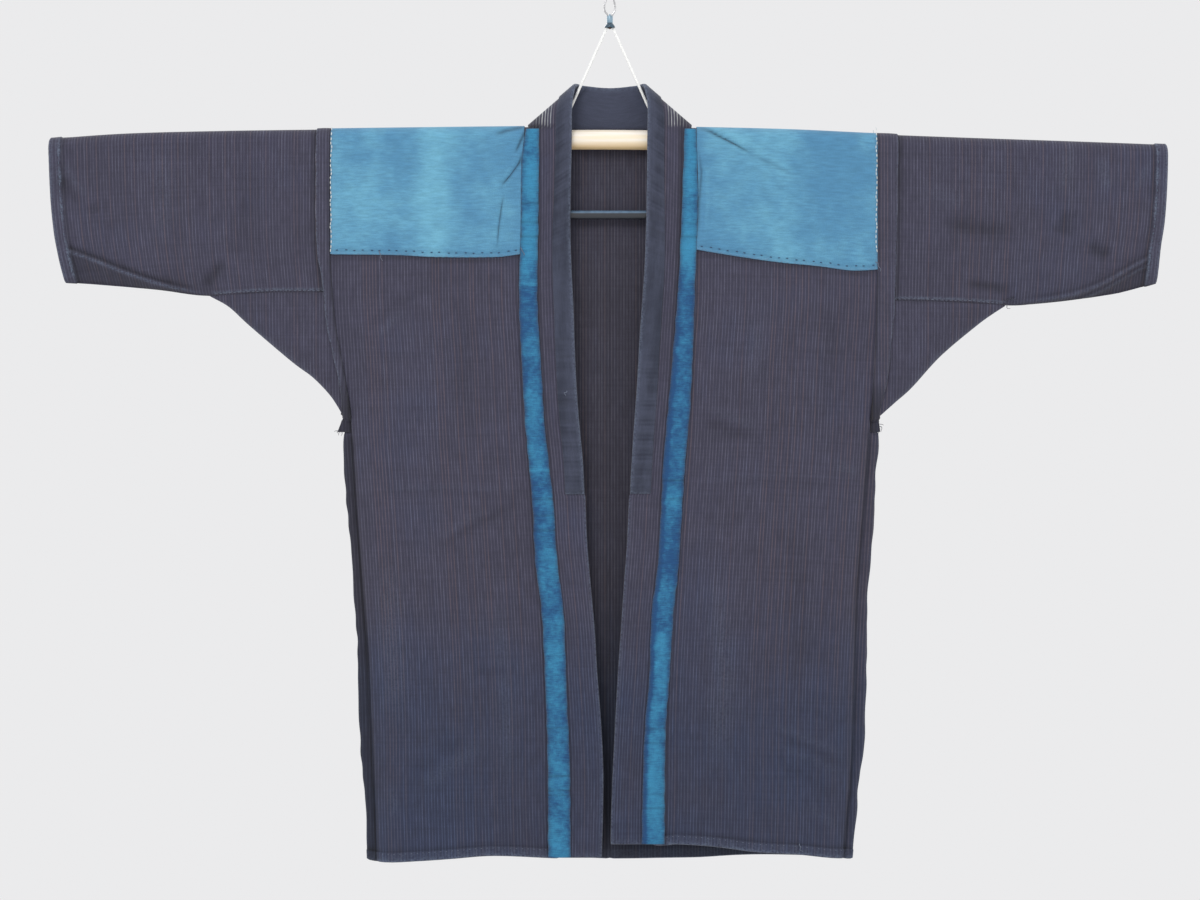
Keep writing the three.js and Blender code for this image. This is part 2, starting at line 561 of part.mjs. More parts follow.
// A blue strip over the collar seam, lying on the body at one edge and on the collar at the other
function strip(half) {
  const hemTop = half.frontFoot + STRIP_HEM;
  const hemEdge = STRIP_HEM / 3;
  const drop = [0, ...steps(STRIP_STEPS)].map((t) => THREE.MathUtils.lerp(STRIP_TOP, hemTop, t));
  const heights = [...drop, hemTop - hemEdge, half.frontFoot];
  const lie = FACING / 2 + GAP;
  const grid = heights.map((z) => {
    const seam = half.collarSeamX(z);
    const near = half.stripNearX(z);
    const far = half.stripFarX(z);
    const onCollar = (x) => collarDepth(z, (seam - x) / (seam - half.frontEdgeX(z))) + BAND / 2 + lie;
    const hem = (HEM_RISE + GAP) * THREE.MathUtils.smoothstep(hemTop - z, 0, hemEdge);
    const onBody = depth(half, far, z, -1) + CLOTH / 2 + lie + hem;
    const foot = (x) => Math.max(z, half.frontHemZ(x));
    return [
      new THREE.Vector3(half.side * far, -onBody, foot(far)),
      new THREE.Vector3(half.side * seam, -Math.max(onCollar(seam), onBody), foot(seam)),
      new THREE.Vector3(half.side * near, -onCollar(near), foot(near)),
    ];
  });
  return sheetSolid(grid, half.side, same(FACING / 2), same(-FACING / 2));
}

// Half of the collar's two rails, from the hem to just before the middle of the back neck.
// Rulings are level in front and turn to run along the fold that takes the band over the rod.
function collarRails(half) {
  const innerTop = half.crest(COLLAR_SIDE) - WRAP;
  const heights = bodyDrops(half).map((drop) => THREE.MathUtils.lerp(innerTop, half.frontFoot, drop));
  const front = [half.frontFoot, ...heights.reverse(), innerTop].map((z) => {
    const edgeZ = z + NECK_TILT * THREE.MathUtils.smoothstep(z, TILT_HEIGHTS.none, TILT_HEIGHTS.full);
    return {
      seam: [half.collarSeamX(z), -collarDepth(z, 0), z],
      edge: [half.frontEdgeX(edgeZ), -collarDepth(z, 1), edgeZ],
    };
  });
  return [...front, ...NECK_STATIONS].map(({ seam, edge }) => ({
    seam: new THREE.Vector3(half.side * seam[0], seam[1], seam[2]),
    edge: new THREE.Vector3(half.side * edge[0], edge[1], edge[2]),
  }));
}

// The collar's stations from the wearer's right hem round the neck to the left hem,
// each with its seam and edge points and whether the over-collar covers it
function collarStations() {
  const right = collarRails(halves.right);
  const left = collarRails(halves.left).reverse();
  const middle = { seam: new THREE.Vector3(...NECK_BACK.seam), edge: new THREE.Vector3(...NECK_BACK.edge) };
  const all = [...right, middle, ...left];
  const seamCurve = new THREE.CatmullRomCurve3(all.map((row) => row.seam), false, 'catmullrom', 0.5);
  const edgeCurve = new THREE.CatmullRomCurve3(all.map((row) => row.edge), false, 'catmullrom', 0.5);
  const last = all.length - 1;
  const frontCount = bodyDrops(halves.right).length + 1;
  const places = [];
  for (let i = 0; i <= last; i += 1) {
    places.push(i);
    if (i >= frontCount && i < last - frontCount) places.push(i + 0.5);
  }
  const coverFrom = INNER_HEIGHTS.length - INNER_HEIGHTS.indexOf(COVER_FOOT);
  return places.map((place) => ({
    seam: seamCurve.getPoint(place / last),
    edge: edgeCurve.getPoint(place / last),
    covered: place >= coverFrom && place <= last - coverFrom,
    coverWidth: THREE.MathUtils.lerp(RIGHT.coverWidth, LEFT.coverWidth, place / last),
  }));
}

// The band of the collar: one solid from hem to hem
function collarBand(stations) {
  const grid = stations.map(({ seam, edge, covered }, i) => {
    const beside = stations[i - 1]?.covered || stations[i + 1]?.covered;
    const across = edge.clone().sub(seam).normalize();
    const end = edge.clone().addScaledVector(across, covered || beside ? -COVER_INSET : 0);
    return [0, 0.5, 1].map((t) => seam.clone().lerp(end, t));
  });
  return sheetSolid(grid, 1, same(BAND / 2), same(-BAND / 2));
}

// The over-collar: plain cloth folded round the free edge, narrow outside and full width inside
function collarCover(stations) {
  const off = BAND / 2 + GAP + FACING / 2;
  const covered = stations.filter((row) => row.covered);
  const grid = covered.map(({ seam, edge, coverWidth }, i) => {
    const before = covered[Math.max(i - 1, 0)];
    const after = covered[Math.min(i + 1, covered.length - 1)];
    const along = after.seam.clone().add(after.edge).sub(before.seam).sub(before.edge);
    const inward = seam.clone().sub(edge);
    const width = inward.length();
    inward.normalize();
    const out = along.clone().cross(inward).normalize();
    const section = [
      [coverWidth, off], [coverWidth / 2, off], [2.2, off], [0.9, 0.75 * off], [0.5, 0],
      [0.9, -0.75 * off], [2.2, -off], [width / 2, -off], [width - 3, -off],
    ];
    return section.map(([w, n]) => edge.clone().addScaledVector(inward, w).addScaledVector(out, n));
  });
  return sheetSolid(grid, -1, same(FACING / 2), same(-FACING / 2));
}

// A straight or gently bent round bar or cord through a list of points
function tube(points, radius, sides, segments) {
  const section = new THREE.Shape();
  for (let i = 0; i <= sides; i += 1) {
    const angle = (2 * Math.PI * i) / sides;
    const step = i === 0 ? 'moveTo' : 'lineTo';
    section[step](radius * Math.cos(angle), radius * Math.sin(angle));
  }
  const path = new THREE.CatmullRomCurve3(points);
  return new THREE.ExtrudeGeometry(section, { steps: segments, extrudePath: path, bevelEnabled: false });
}

// The rod follows the sleeves' line, a little lower near the neck
function rod() {
  const places = Array.from({ length: 27 }, (_, i) => THREE.MathUtils.lerp(-ROD_REACH, ROD_REACH, i / 26));
  const slack = (x) => NECK_SLACK * (1 - THREE.MathUtils.smoothstep(Math.abs(x), SLACK.full, SLACK.none));
  return tube(places.map((x) => new THREE.Vector3(x, 0, crestAt(x) - WRAP - slack(x))), ROD_RADIUS, 16, 36);
}

function lowerBar() {
  const ends = [-1, 1].map((end) => new THREE.Vector3((end * BAR_LENGTH) / 2, 0, BAR_Z));
  return tube(ends, BAR_RADIUS, 16, 1);
}

const rodTopAtCord = (side) => crestAt(side * CORD_AT_ROD) - WRAP - NECK_SLACK + ROD_RADIUS;

function hangingCord(side) {
  const ends = [[CORD_AT_HOOK, CORD_TOP], [CORD_AT_ROD, rodTopAtCord(side) + CORD_CLEAR]];
  return tube(ends.map(([x, z]) => new THREE.Vector3(side * x, 0, z)), CORD_RADIUS, 8, 8);
}

function cordDrop(side) {
  const top = rodTopAtCord(side) - 2 * ROD_RADIUS - GAP;
  const foot = BAR_Z + BAR_RADIUS + GAP;
  const points = [top, foot].map((z) => new THREE.Vector3(side * CORD_AT_ROD, 0, z));
  return tube(points, CORD_RADIUS, 8, 1);
}

// The hanging eye: a drop of wire, open at the foot, where both ends enter the ferrule
function hangingEye() {
  const points = [];
  for (let degrees = -EYE_TURN.end; degrees <= EYE_TURN.end; degrees += EYE_TURN.step) {
    const angle = THREE.MathUtils.degToRad(degrees);
    const x = EYE_HALF_WIDTH * Math.sin(angle) * (1 - EYE_TAPER * Math.cos(angle));
    const z = -EYE_HEIGHT / 2 + (EYE_HEIGHT / 2 + EYE_WIRE) * Math.cos(angle);
    points.push(new THREE.Vector3(x, 0, z));
  }
  points.unshift(new THREE.Vector3(-EYE_FOOT, 0, FERRULE_TOP + GAP));
  points.push(new THREE.Vector3(EYE_FOOT, 0, FERRULE_TOP + GAP));
  return tube(points, EYE_WIRE, 6, 32);
}

const lathe = (profile, segments) => new THREE.LatheGeometry(
  profile.map(([radius, z]) => new THREE.Vector2(radius, z)), segments,
).rotateX(Math.PI / 2);

// The ferrule, with a rivet head on top between the wire's ends and a stem below
function ferrule() {
  const foot = STEM_FOOT;
  return lathe([
    [0, foot - 3.6], [1.7, foot - 3.6], [1.7, foot], [3.1, foot], [3.35, foot + 0.6],
    [3.35, FERRULE_TOP - 0.6], [3.0, FERRULE_TOP], [1.2, FERRULE_TOP], [1.2, FERRULE_TOP + 1.2],
    [0.7, FERRULE_TOP + 2], [0, FERRULE_TOP + 2.2],
  ], 12);
}

// A small bell round the stem that the cords come out of
function bell() {
  const top = STEM_FOOT - GAP;
  return lathe([
    [2.0, top], [2.0, top - 1.5], [3.6, top - 2.4], [5.4, top - 4.9], [6.2, top - 4.3],
    [4.4, top - 1.3], [3.2, top], [2.0, top],
  ], 14);
}

function bead() {
  return new THREE.SphereGeometry(BEAD.radius, 10, 7).translate(0, 0, BEAD.z);
}

function piece(name, geometry, finish) {
  const mesh = new THREE.Mesh(geometry, new THREE.MeshStandardMaterial(finish));
  mesh.name = name;
  return mesh;
}

const hanten = new THREE.Group();
const stations = collarStations();
Object.entries(halves).forEach(([name, half]) => {
  hanten.add(
    piece(`front_${name}`, bodyPanel(half, -1), STRIPED),
    piece(`back_${name}`, bodyPanel(half, 1), STRIPED),
    piece(`sleeve_${name}`, sleeve(half), STRIPED),
    piece(`gusset_${name}`, gusset(half), STRIPED),
    piece(`armhole_allowance_${name}`, armholeAllowance(half), STRIPED),
    piece(`patch_${name}`, patch(half), LIGHT_BLUE),
    piece(`strip_${name}`, strip(half), DEEP_BLUE),
    piece(`cord_${name}`, hangingCord(half.side), WHITE_CORD),
    piece(`cord_drop_${name}`, cordDrop(half.side), WHITE_CORD),
  );
});
hanten.add(
  piece('collar', collarBand(stations), STRIPED),
  piece('collar_cover', collarCover(stations), PLAIN),
  piece('rod', rod(), WOOD),
  piece('lower_bar', lowerBar(), DARK_BAR),
  piece('hanging_eye', hangingEye(), STEEL),
  piece('ferrule', ferrule(), GREY_BLUE),
  piece('bell', bell(), TEAL),
  piece('bead', bead(), BROWN),
);

export default hanten;
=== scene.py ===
"""A hanten work jacket of striped cotton, shown inside out and flat on its wooden rod.

Lengths are millimetres, unless a name or a property says otherwise, in the frame's own axes: +Z up, the
front toward -Y and +X toward the wearer's left. The origin is the inside top of the wire eye that
everything hangs from. In the tables of one half, x is a distance from the middle.
"""

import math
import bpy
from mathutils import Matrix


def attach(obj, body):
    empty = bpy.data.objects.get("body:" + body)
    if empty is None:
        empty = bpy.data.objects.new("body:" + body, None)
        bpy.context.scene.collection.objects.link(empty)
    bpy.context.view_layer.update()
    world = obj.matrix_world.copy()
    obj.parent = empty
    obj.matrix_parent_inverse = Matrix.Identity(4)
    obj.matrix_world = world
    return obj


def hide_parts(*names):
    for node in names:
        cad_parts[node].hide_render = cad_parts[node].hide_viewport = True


bl_info = {
    "name": "Hanten Jacket",
    "version": (1, 0, 0),
    "blender": (4, 5, 0),
    "location": "3D View > Sidebar > Hanten",
    "description": "Makes a patched, striped cotton work jacket that hangs flat on a wooden rod",
    "category": "Object",
}

import bpy
import numpy as np
from bpy.props import FloatProperty, FloatVectorProperty, PointerProperty

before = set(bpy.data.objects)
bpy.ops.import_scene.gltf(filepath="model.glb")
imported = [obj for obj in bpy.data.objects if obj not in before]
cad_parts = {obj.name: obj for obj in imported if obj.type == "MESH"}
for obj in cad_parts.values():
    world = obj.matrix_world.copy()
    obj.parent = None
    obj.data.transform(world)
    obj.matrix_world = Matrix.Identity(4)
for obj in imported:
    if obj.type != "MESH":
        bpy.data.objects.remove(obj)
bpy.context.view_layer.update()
MM = 0.001

# Cloth
CLOTH = 1.5             # from the inside to the outside of one wall
BAND = 2.0              # the collar band, two layers
BAND_WIDTH = 50.0
FACING = 1.0            # strips, patches, over-collar
GAP = 0.3               # between pieces that lie on each other
OVER_PATCH = GAP + FACING
COLLAR_GAP = 0.6
GUSSET_GAP = 0.9
HEM_RISE = 1.1
HEM_HEIGHT = 9.5
CUFF_HEM = 12.0
ALLOWANCE = 1.2
SLEEVE_CLOTH = 312.0    # across the stripes, from armhole to cuff
GUSSET_WIDTH = 90.0     # from the fold to a seam, about

# Hanger
ROD_RADIUS = 11.0
ROD_REACH = 606.0
BAR_RADIUS = 5.0
BAR_LENGTH = 300.0
BAR_Z = -246.4
CORD_AT_ROD = 54.5
CORD_AT_HOOK = 3.4
CORD_TOP = -36.9
CORD_BITE = 0.9         # how far a hanging cord reaches above the rod's top
CORD_LAY = 14.0         # along the cord in which its strands go round once
EYE_WIRE = 1.1
EYE_HEIGHT = 21.0
FERRULE_TOP = -23.6
FERRULE_LENGTH = 8.0
BEAD_DROP = 13.35       # from the ferrule's top to the bead's middle
POLE = 0.01             # radius that closes a turned piece
UPRIGHT = (0.0, 0.0, 1.0)
NECK_SLACK = 1.4        # how far the rod lies lower inside the neck

# The flat garment's depth
WRAP = ROD_RADIUS + 0.6 + CLOTH / 2     # middle of the cloth where it turns over the rod
CLOSED = CLOTH / 2 + 0.2                # half depth where front and back are sewn together
CLOSE_WIDTH = 34.0

# Places on the body
UNDERARM = -474.0
FIN_TOP = -489.0
SIDE_FOOT = -966.0
NECK_ANGLE = 56.0       # degrees round the rod from the crest to the neck's rear edge
SHOULDER = 300.0        # from the middle to the armholes, about
FRONT_ANGLE = -1.5      # radians; rows below it lie on the front wall

# Collar
STRIP_TOP = -152.0
COVER_FOOT = -559.0
COVER_INSET = 1.6
COVER_FOLD = 2.2        # from the free edge to where the over-collar's fold starts
COVER_STOP = 3.0        # from its inner end to the collar seam
COLLAR_SLANT = 35.0     # how far lines across the collar rise toward its free edge
BAND_JOIN = -149.5      # seam across the band on the wearer's right
STRIP_JOINS = (-324, -532)
NECK_STATIONS = [
    ((90.5, -9, -149.5), (39.5, -11, -107)),
    ((90.5, 0, -146.4), (37.2, 0, -100.2)),
    ((84, 8, -148.5), (30, 9, -100.5)),
    ((70, 11, -151.5), (22, 12, -101)),
    ((45, 11.6, -152.6), (12, 12.8, -102)),
]
NECK_BACK = ((0, 11.8, -152.8), (0, 13, -102.5))
COLLAR_HEIGHTS = [
    -200, -240, -280, -320, -360, -400, -440, -480, -520, -559, -610, -660, -710, -760, -810, -860, -905,
]

# The line of the shoulders and sleeves: x, z
CREST = [
    (-630, -162), (-543, -156), (-433, -153), (-325, -151.5), (-207, -150), (-95, -148.8), (0, -148.4),
    (92, -149.6), (202, -152.3), (295, -156.6), (397, -160.5), (523, -164.8), (630, -168.8),
]

# Tables of each half. Edges that run down are (z, x); feet that run across are (x, z).
HALF_TABLES = {
    "right": {
        "side": -1,
        "armhole": [
            (-140, 312), (-274, 313), (-329, 310), (-372, 306), (-399, 301), (-431, 295), (-455, 290.5),
            (-474, 288.5),
        ],
        "side_seam": [
            (-474, 288.5), (-506, 287), (-560, 284), (-614, 280), (-689, 274), (-741, 270), (-806, 267),
            (-913, 262), (-970, 260),
        ],
        "fin_edge": [
            (-474, 289.5), (-492, 297), (-528, 297), (-570, 294), (-624, 289), (-689, 285), (-720, 282),
            (-785, 281), (-849, 278), (-892, 274), (-924, 272), (-970, 271.5),
        ],
        "allowance_edge": [
            (-140, 327), (-274, 327), (-325, 320), (-372, 315), (-400, 309), (-431, 301.5), (-463, 298),
            (-478, 300), (-489, 304),
        ],
        "cuff": [(-150, 626), (-227, 623), (-268, 619), (-290, 615), (-325, 608)],
        "sleeve_foot": [(300, -333.5), (380, -333.5), (450, -336.4), (508, -329.5), (571, -324), (612, -321)],
        "sleeve_ridge": [(450, -335), (496, -326), (533, -314.7), (571, -300), (598, -290), (616, -284)],
        "gusset_fold": [
            (447, -337), (426, -349), (403, -370), (356, -410), (332, -428), (312, -449), (298, -471),
        ],
        "collar_seam": [
            (-140, 91), (-263, 89.5), (-342, 91), (-386, 89), (-431, 86.5), (-482, 83.5), (-535, 78),
            (-633, 71), (-689, 64), (-790, 59.5), (-857, 57), (-970, 56.5),
        ],
        "front_edge": [
            (-140, 42), (-274, 44), (-336, 41), (-398, 39), (-439, 37), (-480, 34), (-522, 30), (-588, 27),
            (-633, 25), (-689, 19), (-741, 16), (-795, 12), (-838, 9), (-892, 8), (-970, 10),
        ],
        "front_hem": [
            (8, -963), (16, -965), (45, -964.5), (69, -963.5), (131, -961), (174, -964), (216, -967),
            (257, -969), (274, -966.5),
        ],
        "back_hem": [(0, -968), (118, -964), (272, -966)],
        "strip_near": [
            (-150, 79), (-263, 80), (-342, 81), (-431, 76), (-482, 73), (-571, 63), (-633, 59), (-689, 52),
            (-790, 48), (-857, 45), (-970, 44),
        ],
        "strip_far": [
            (-150, 93), (-165, 95.5), (-190, 98), (-263, 99), (-342, 101), (-431, 97), (-482, 94), (-571, 86),
            (-633, 83), (-689, 76), (-790, 71), (-857, 69), (-970, 68.5),
        ],
        "patch_foot": [(101, -291), (126, -294), (196, -294), (235, -292), (312, -291)],
        "front_foot": -963.5,
        "cover_width": 21.0,
    },
    "left": {
        "side": 1,
        "armhole": [(-140, 299), (-286, 299), (-342, 298), (-398, 296), (-454, 292.5), (-474, 290.5)],
        "side_seam": [
            (-474, 290.5), (-495, 290), (-549, 286), (-598, 282), (-635, 279), (-678, 275.5), (-763, 274),
            (-828, 272), (-881, 269), (-935, 264), (-970, 261),
        ],
        "fin_edge": [
            (-474, 291.5), (-492, 300), (-539, 297), (-591, 295), (-635, 291), (-678, 288), (-731, 287.5),
            (-785, 286), (-844, 284), (-881, 278), (-924, 275), (-970, 270),
        ],
        "allowance_edge": [
            (-140, 322), (-286, 319), (-352, 317), (-383, 314), (-422, 310), (-450, 304.5), (-466, 300),
            (-478, 300.5), (-489, 302),
        ],
        "cuff": [(-150, 621.5), (-203, 621), (-253, 618), (-288, 613), (-325, 610.5)],
        "sleeve_foot": [
            (290, -342), (380, -344), (450, -347.2), (475, -345.6), (511, -342), (547, -337), (571, -333),
            (601, -325), (615, -321),
        ],
        "sleeve_ridge": [(449, -345), (511, -337), (547, -325), (571, -312), (593, -299.7), (618, -288)],
        "gusset_fold": [
            (442, -348), (428, -357), (409, -371), (370, -404), (338, -439), (319, -456), (301, -472),
        ],
        "collar_seam": [
            (-140, 90), (-230, 89.5), (-319, 86), (-364, 83.5), (-409, 81), (-465, 77), (-521, 72),
            (-582, 68.5), (-644, 64.5), (-689, 59), (-767, 55), (-823, 50.5), (-902, 48), (-970, 48),
        ],
        "front_edge": [
            (-140, 42), (-274, 40), (-315, 38), (-377, 33.5), (-439, 30), (-480, 27), (-543, 23), (-610, 20),
            (-666, 16), (-763, 9.5), (-838, 5.5), (-892, 3), (-970, 1),
        ],
        "front_hem": [
            (0, -948), (35, -949), (61, -949.5), (75, -948.5), (118, -951), (160, -956), (214, -960),
            (257, -965), (273, -966),
        ],
        "back_hem": [(0, -968), (97, -966.5), (173, -963.5), (272, -966)],
        "strip_near": [
            (-150, 83.5), (-230, 81), (-319, 77), (-409, 70), (-465, 65), (-521, 60), (-582, 57), (-644, 53),
            (-689, 47), (-767, 44), (-823, 39), (-970, 35),
        ],
        "strip_far": [
            (-150, 96), (-230, 98), (-319, 95), (-409, 92), (-465, 89), (-521, 84), (-582, 80), (-644, 76),
            (-689, 71), (-767, 66), (-823, 62), (-970, 60.5),
        ],
        "patch_foot": [(95, -285.5), (140, -293), (185, -299.5), (235, -304.5), (270, -309), (300, -308)],
        "front_foot": -948.5,
        "cover_width": 23.5,
    },
}

# How far the fronts' stripes have moved toward the middle, by height: z, shift
LEAN = [
    (-970, 29), (-897, 27), (-816, 26.3), (-736, 23.5), (-655, 19), (-575, 14), (-494, 8.5), (-413, 4.8),
    (-332, 0.3), (-140, 0),
]

# Paler bands down the patches: middle in true x, width, strength
PATCH_BANDS = [(-196, 24, 0.42), (-262, 18, 0.10), (183, 36, 0.15), (125, 20, 0.06)]

# Soft ridges (height above 0) and troughs (below 0): points (true x, z), height, width
FRONT_CREASES = [
    # Patches
    ([(-92, -149), (-104, -152), (-118, -155), (-130, -158)], -1.5, 1.9),
    ([(-93, -147), (-112, -148), (-135, -152)], 0.7, 3.5),
    ([(-92, -151), (-99, -164), (-106, -180)], -1.5, 1.8),
    ([(-97, -176), (-101, -189), (-111, -203), (-123, -218)], -1.9, 2.0),
    ([(-101, -178), (-108, -193), (-120, -207)], 0.9, 3.0),
    ([(-118, -222), (-121, -240), (-124, -262), (-126, -286)], -1.4, 1.7),
    ([(96, -150), (112, -155), (138, -168), (161, -181)], -1.9, 2.0),
    ([(99, -147), (120, -152), (146, -164), (168, -176)], 1.1, 3.4),
    ([(158, -180), (182, -192), (206, -203)], -0.5, 2.4),
    ([(98, -170), (102, -200), (99, -238), (97, -280)], -1.1, 1.8),
    ([(107, -185), (109, -230), (105, -285)], 0.8, 2.6),
    # Wearer's right sleeve
    ([(-612, -185), (-596, -213), (-582, -230)], 1.5, 4),
    ([(-616, -200), (-602, -222), (-588, -238)], -1.3, 6),
    ([(-580, -235), (-571, -247)], -1.2, 5),
    ([(-430, -298), (-442, -314), (-454, -330)], -2.2, 7),
    ([(-500, -170), (-497, -240), (-503, -290)], 0.9, 12),
    ([(-400, -175), (-405, -250), (-402, -310)], -0.8, 12),
    # Wearer's left sleeve
    ([(513, -162), (510, -195), (503, -230)], 1.5, 7),
    ([(547, -180), (551, -200), (556, -224)], 1.9, 6),
    ([(604, -186), (592, -208), (583, -225)], 1.4, 4),
    ([(513, -240), (508, -258), (503, -275)], -2.0, 9),
    ([(532, -280), (545, -287), (560, -295)], -2.2, 8),
    ([(362, -255), (410, -262), (455, -270)], -1.8, 10),
    ([(395, -322), (425, -328), (450, -333)], -2.2, 6),
    ([(340, -215), (400, -240)], 0.8, 10),
    # Wearer's right front
    ([(-282, -553), (-180, -551), (-89, -556)], 0.75, 3),
    ([(-282, -560), (-180, -558), (-87, -563)], -0.75, 3.5),
    ([(-193, -622), (-162, -600), (-128, -583), (-95, -566)], -1.3, 4.5),
    ([(-196, -612), (-160, -589), (-130, -574)], 0.8, 5),
    ([(-263, -386), (-245, -368), (-228, -352)], 1.0, 4.5),
    ([(-270, -374), (-246, -352), (-190, -322)], -0.8, 6),
    ([(-154, -758), (-130, -756), (-106, -753)], -0.9, 6),
    ([(-218, -890), (-178, -862), (-134, -832)], 1.1, 9),
    ([(-222, -873), (-185, -846), (-150, -828)], -0.9, 7),
    ([(-248, -610), (-243, -720), (-238, -830)], 1.2, 13),
    ([(-160, -330), (-164, -420), (-158, -520)], -0.9, 12),
    ([(-128, -650), (-118, -760), (-112, -900)], 1.0, 10),
    ([(-245, -880), (-238, -925)], 1.0, 5),
    # Wearer's left front
    ([(90, -543), (200, -538), (286, -545)], 0.6, 3),
    ([(88, -550), (200, -545), (286, -552)], -0.7, 3.5),
    ([(101, -474), (135, -490), (163, -498)], -1.5, 8),
    ([(105, -462), (140, -477), (170, -486)], 0.9, 7),
    ([(249, -523), (264, -531), (278, -538)], 1.2, 6),
    ([(152, -552), (160, -558)], 0.9, 5),
    ([(174, -812), (220, -832), (269, -852)], 0.9, 4),
    ([(178, -824), (222, -843), (268, -863)], -0.9, 4),
    ([(182, -836), (225, -855), (268, -874)], 0.8, 4),
    ([(202, -795), (240, -809), (270, -821)], -0.8, 4),
    ([(186, -857), (225, -878), (262, -900)], -0.9, 5),
    ([(213, -902), (240, -920), (258, -935)], 0.8, 5),
    ([(118, -640), (126, -760), (120, -880)], 1.2, 13),
    ([(205, -580), (212, -680), (208, -780)], -1.0, 14),
    ([(165, -350), (160, -440)], 0.8, 10),
    ([(240, -330), (246, -420), (243, -500)], -0.8, 12),
]
BACK_CREASES = [
    ([(-270, -548), (-100, -553), (100, -550), (270, -545)], 0.8, 3),
    ([(-270, -555), (-100, -560), (100, -557), (270, -552)], -0.8, 3.5),
    ([(-28, -190), (-34, -400), (-30, -640), (-38, -900)], 0.9, 9),
    ([(36, -230), (30, -480), (38, -760)], -0.9, 10),
    ([(-190, -330), (-196, -480), (-184, -640)], -1.0, 13),
    ([(175, -310), (184, -470), (178, -620)], 1.1, 13),
    ([(-230, -860), (-180, -830), (-120, -790)], 1.1, 8),
    ([(110, -700), (170, -725), (240, -760)], -1.1, 7),
    ([(-120, -480), (-80, -500), (-50, -512)], -1.1, 5),
    ([(215, -865), (160, -890), (120, -905)], 1.0, 7),
    ([(-560, -190), (-548, -225), (-556, -262)], 1.4, 8),
    ([(-420, -250), (-460, -262), (-505, -258)], -1.5, 9),
    ([(520, -185), (512, -230), (518, -275)], 1.4, 8),
    ([(380, -240), (430, -252), (470, -246)], -1.4, 9),
    ([(-99, -158), (-124, -176), (-150, -190)], -1.3, 1.9),
    ([(-104, -152), (-132, -168), (-160, -182)], 0.8, 3.2),
    ([(98, -160), (121, -184), (143, -204)], -1.5, 2.0),
    ([(106, -156), (130, -178), (152, -196)], 0.8, 3.2),
]


def smooth_ramp(value, low, high):
    """3t^2 - 2t^3 of t, the share of the way from low to high, held at 0 and 1 outside."""
    t = np.clip((value - low) / (high - low), 0, 1)
    return t * t * (3 - 2 * t)


def bump(distance, width):
    """exp(-(distance / width)^2): 1 at distance 0 and next to nothing from two widths on."""
    return np.exp(-((distance / width) ** 2))


def unit(vectors):
    """Vectors of length 1 in the same directions."""
    return vectors / np.maximum(np.linalg.norm(vectors, axis=-1, keepdims=True), 1e-9)


def length_along(points):
    """Length of the line of points up to each of them."""
    return np.concatenate([[0], np.cumsum(np.linalg.norm(np.diff(points, axis=0), axis=1))])


def curve(rows):
    """A smooth curve through rows of (place, value).

    Between two rows it is the cubic with the rows' values whose slope at each row is the slope from the
    row before it to the row after it."""
    place, value = np.array(sorted(rows), float).T
    before = np.maximum(np.arange(len(place)) - 1, 0)
    after = np.minimum(np.arange(len(place)) + 1, len(place) - 1)
    slope = (value[after] - value[before]) / (place[after] - place[before])

    def at(where):
        where = np.clip(where, place[0], place[-1])
        i = np.clip(np.searchsorted(place, where, side="right") - 1, 0, len(place) - 2)
        width = place[i + 1] - place[i]
        t = (where - place[i]) / width
        rise = t * t * (3 - 2 * t)
        bend = slope[i] * t * (1 - t) ** 2 - slope[i + 1] * t * t * (1 - t)
        return value[i] * (1 - rise) + value[i + 1] * rise + width * bend

    return at


crest_line = curve(CREST)
lean = curve(LEAN)


class Half:
    """One half of the garment, its tables turned into curves."""

    def __init__(self, name, tables):
        self.name = name
        self.side = tables["side"]
        self.front_foot = tables["front_foot"]
        self.cover_width = tables["cover_width"]
        self.gusset_line = tables["gusset_fold"]
        self.cuff_end = tables["cuff"][0][1]
        self.fold_end = tables["sleeve_foot"][0][1]
        outline = tables["armhole"] + tables["side_seam"][1:]
        self.seam_x = curve(outline)
        self.fin_x = curve(tables["armhole"] + tables["fin_edge"][1:])
        for name_of_table in (
            "allowance_edge", "cuff", "sleeve_foot", "sleeve_ridge", "collar_seam", "front_edge",
            "front_hem", "back_hem", "strip_near", "strip_far", "patch_foot",
        ):
            setattr(self, name_of_table, curve(tables[name_of_table]))
        outer_sleeve = [row for row in tables["sleeve_foot"] if row[0] > tables["gusset_fold"][0][0]]
        seam_down = [(x, z) for z, x in tables["side_seam"][1:]]
        self.closed = outer_sleeve[::-1] + tables["gusset_fold"] + seam_down

    def crest(self, x):
        """Height of the crest at a distance x from the middle."""
        return crest_line(self.side * x)


HALVES = {name: Half(name, tables) for name, tables in HALF_TABLES.items()}


def line_distance(x, z, points):
    """Distance from (x, z) to a line of (x, z) corners, and the share of its length at the nearest point."""
    nearest = np.full(np.broadcast(x, z).shape, np.inf)
    share = np.zeros_like(nearest)
    spans = [math.dist(a, b) for a, b in zip(points, points[1:])]
    passed = 0
    for (ax, az), (bx, bz), span in zip(points, points[1:], spans):
        t = np.clip(((x - ax) * (bx - ax) + (z - az) * (bz - az)) / span**2, 0, 1)
        away = np.hypot(x - ax - t * (bx - ax), z - az - t * (bz - az))
        share = np.where(away < nearest, (passed + t * span) / sum(spans), share)
        nearest = np.minimum(nearest, away)
        passed += span
    return nearest, share


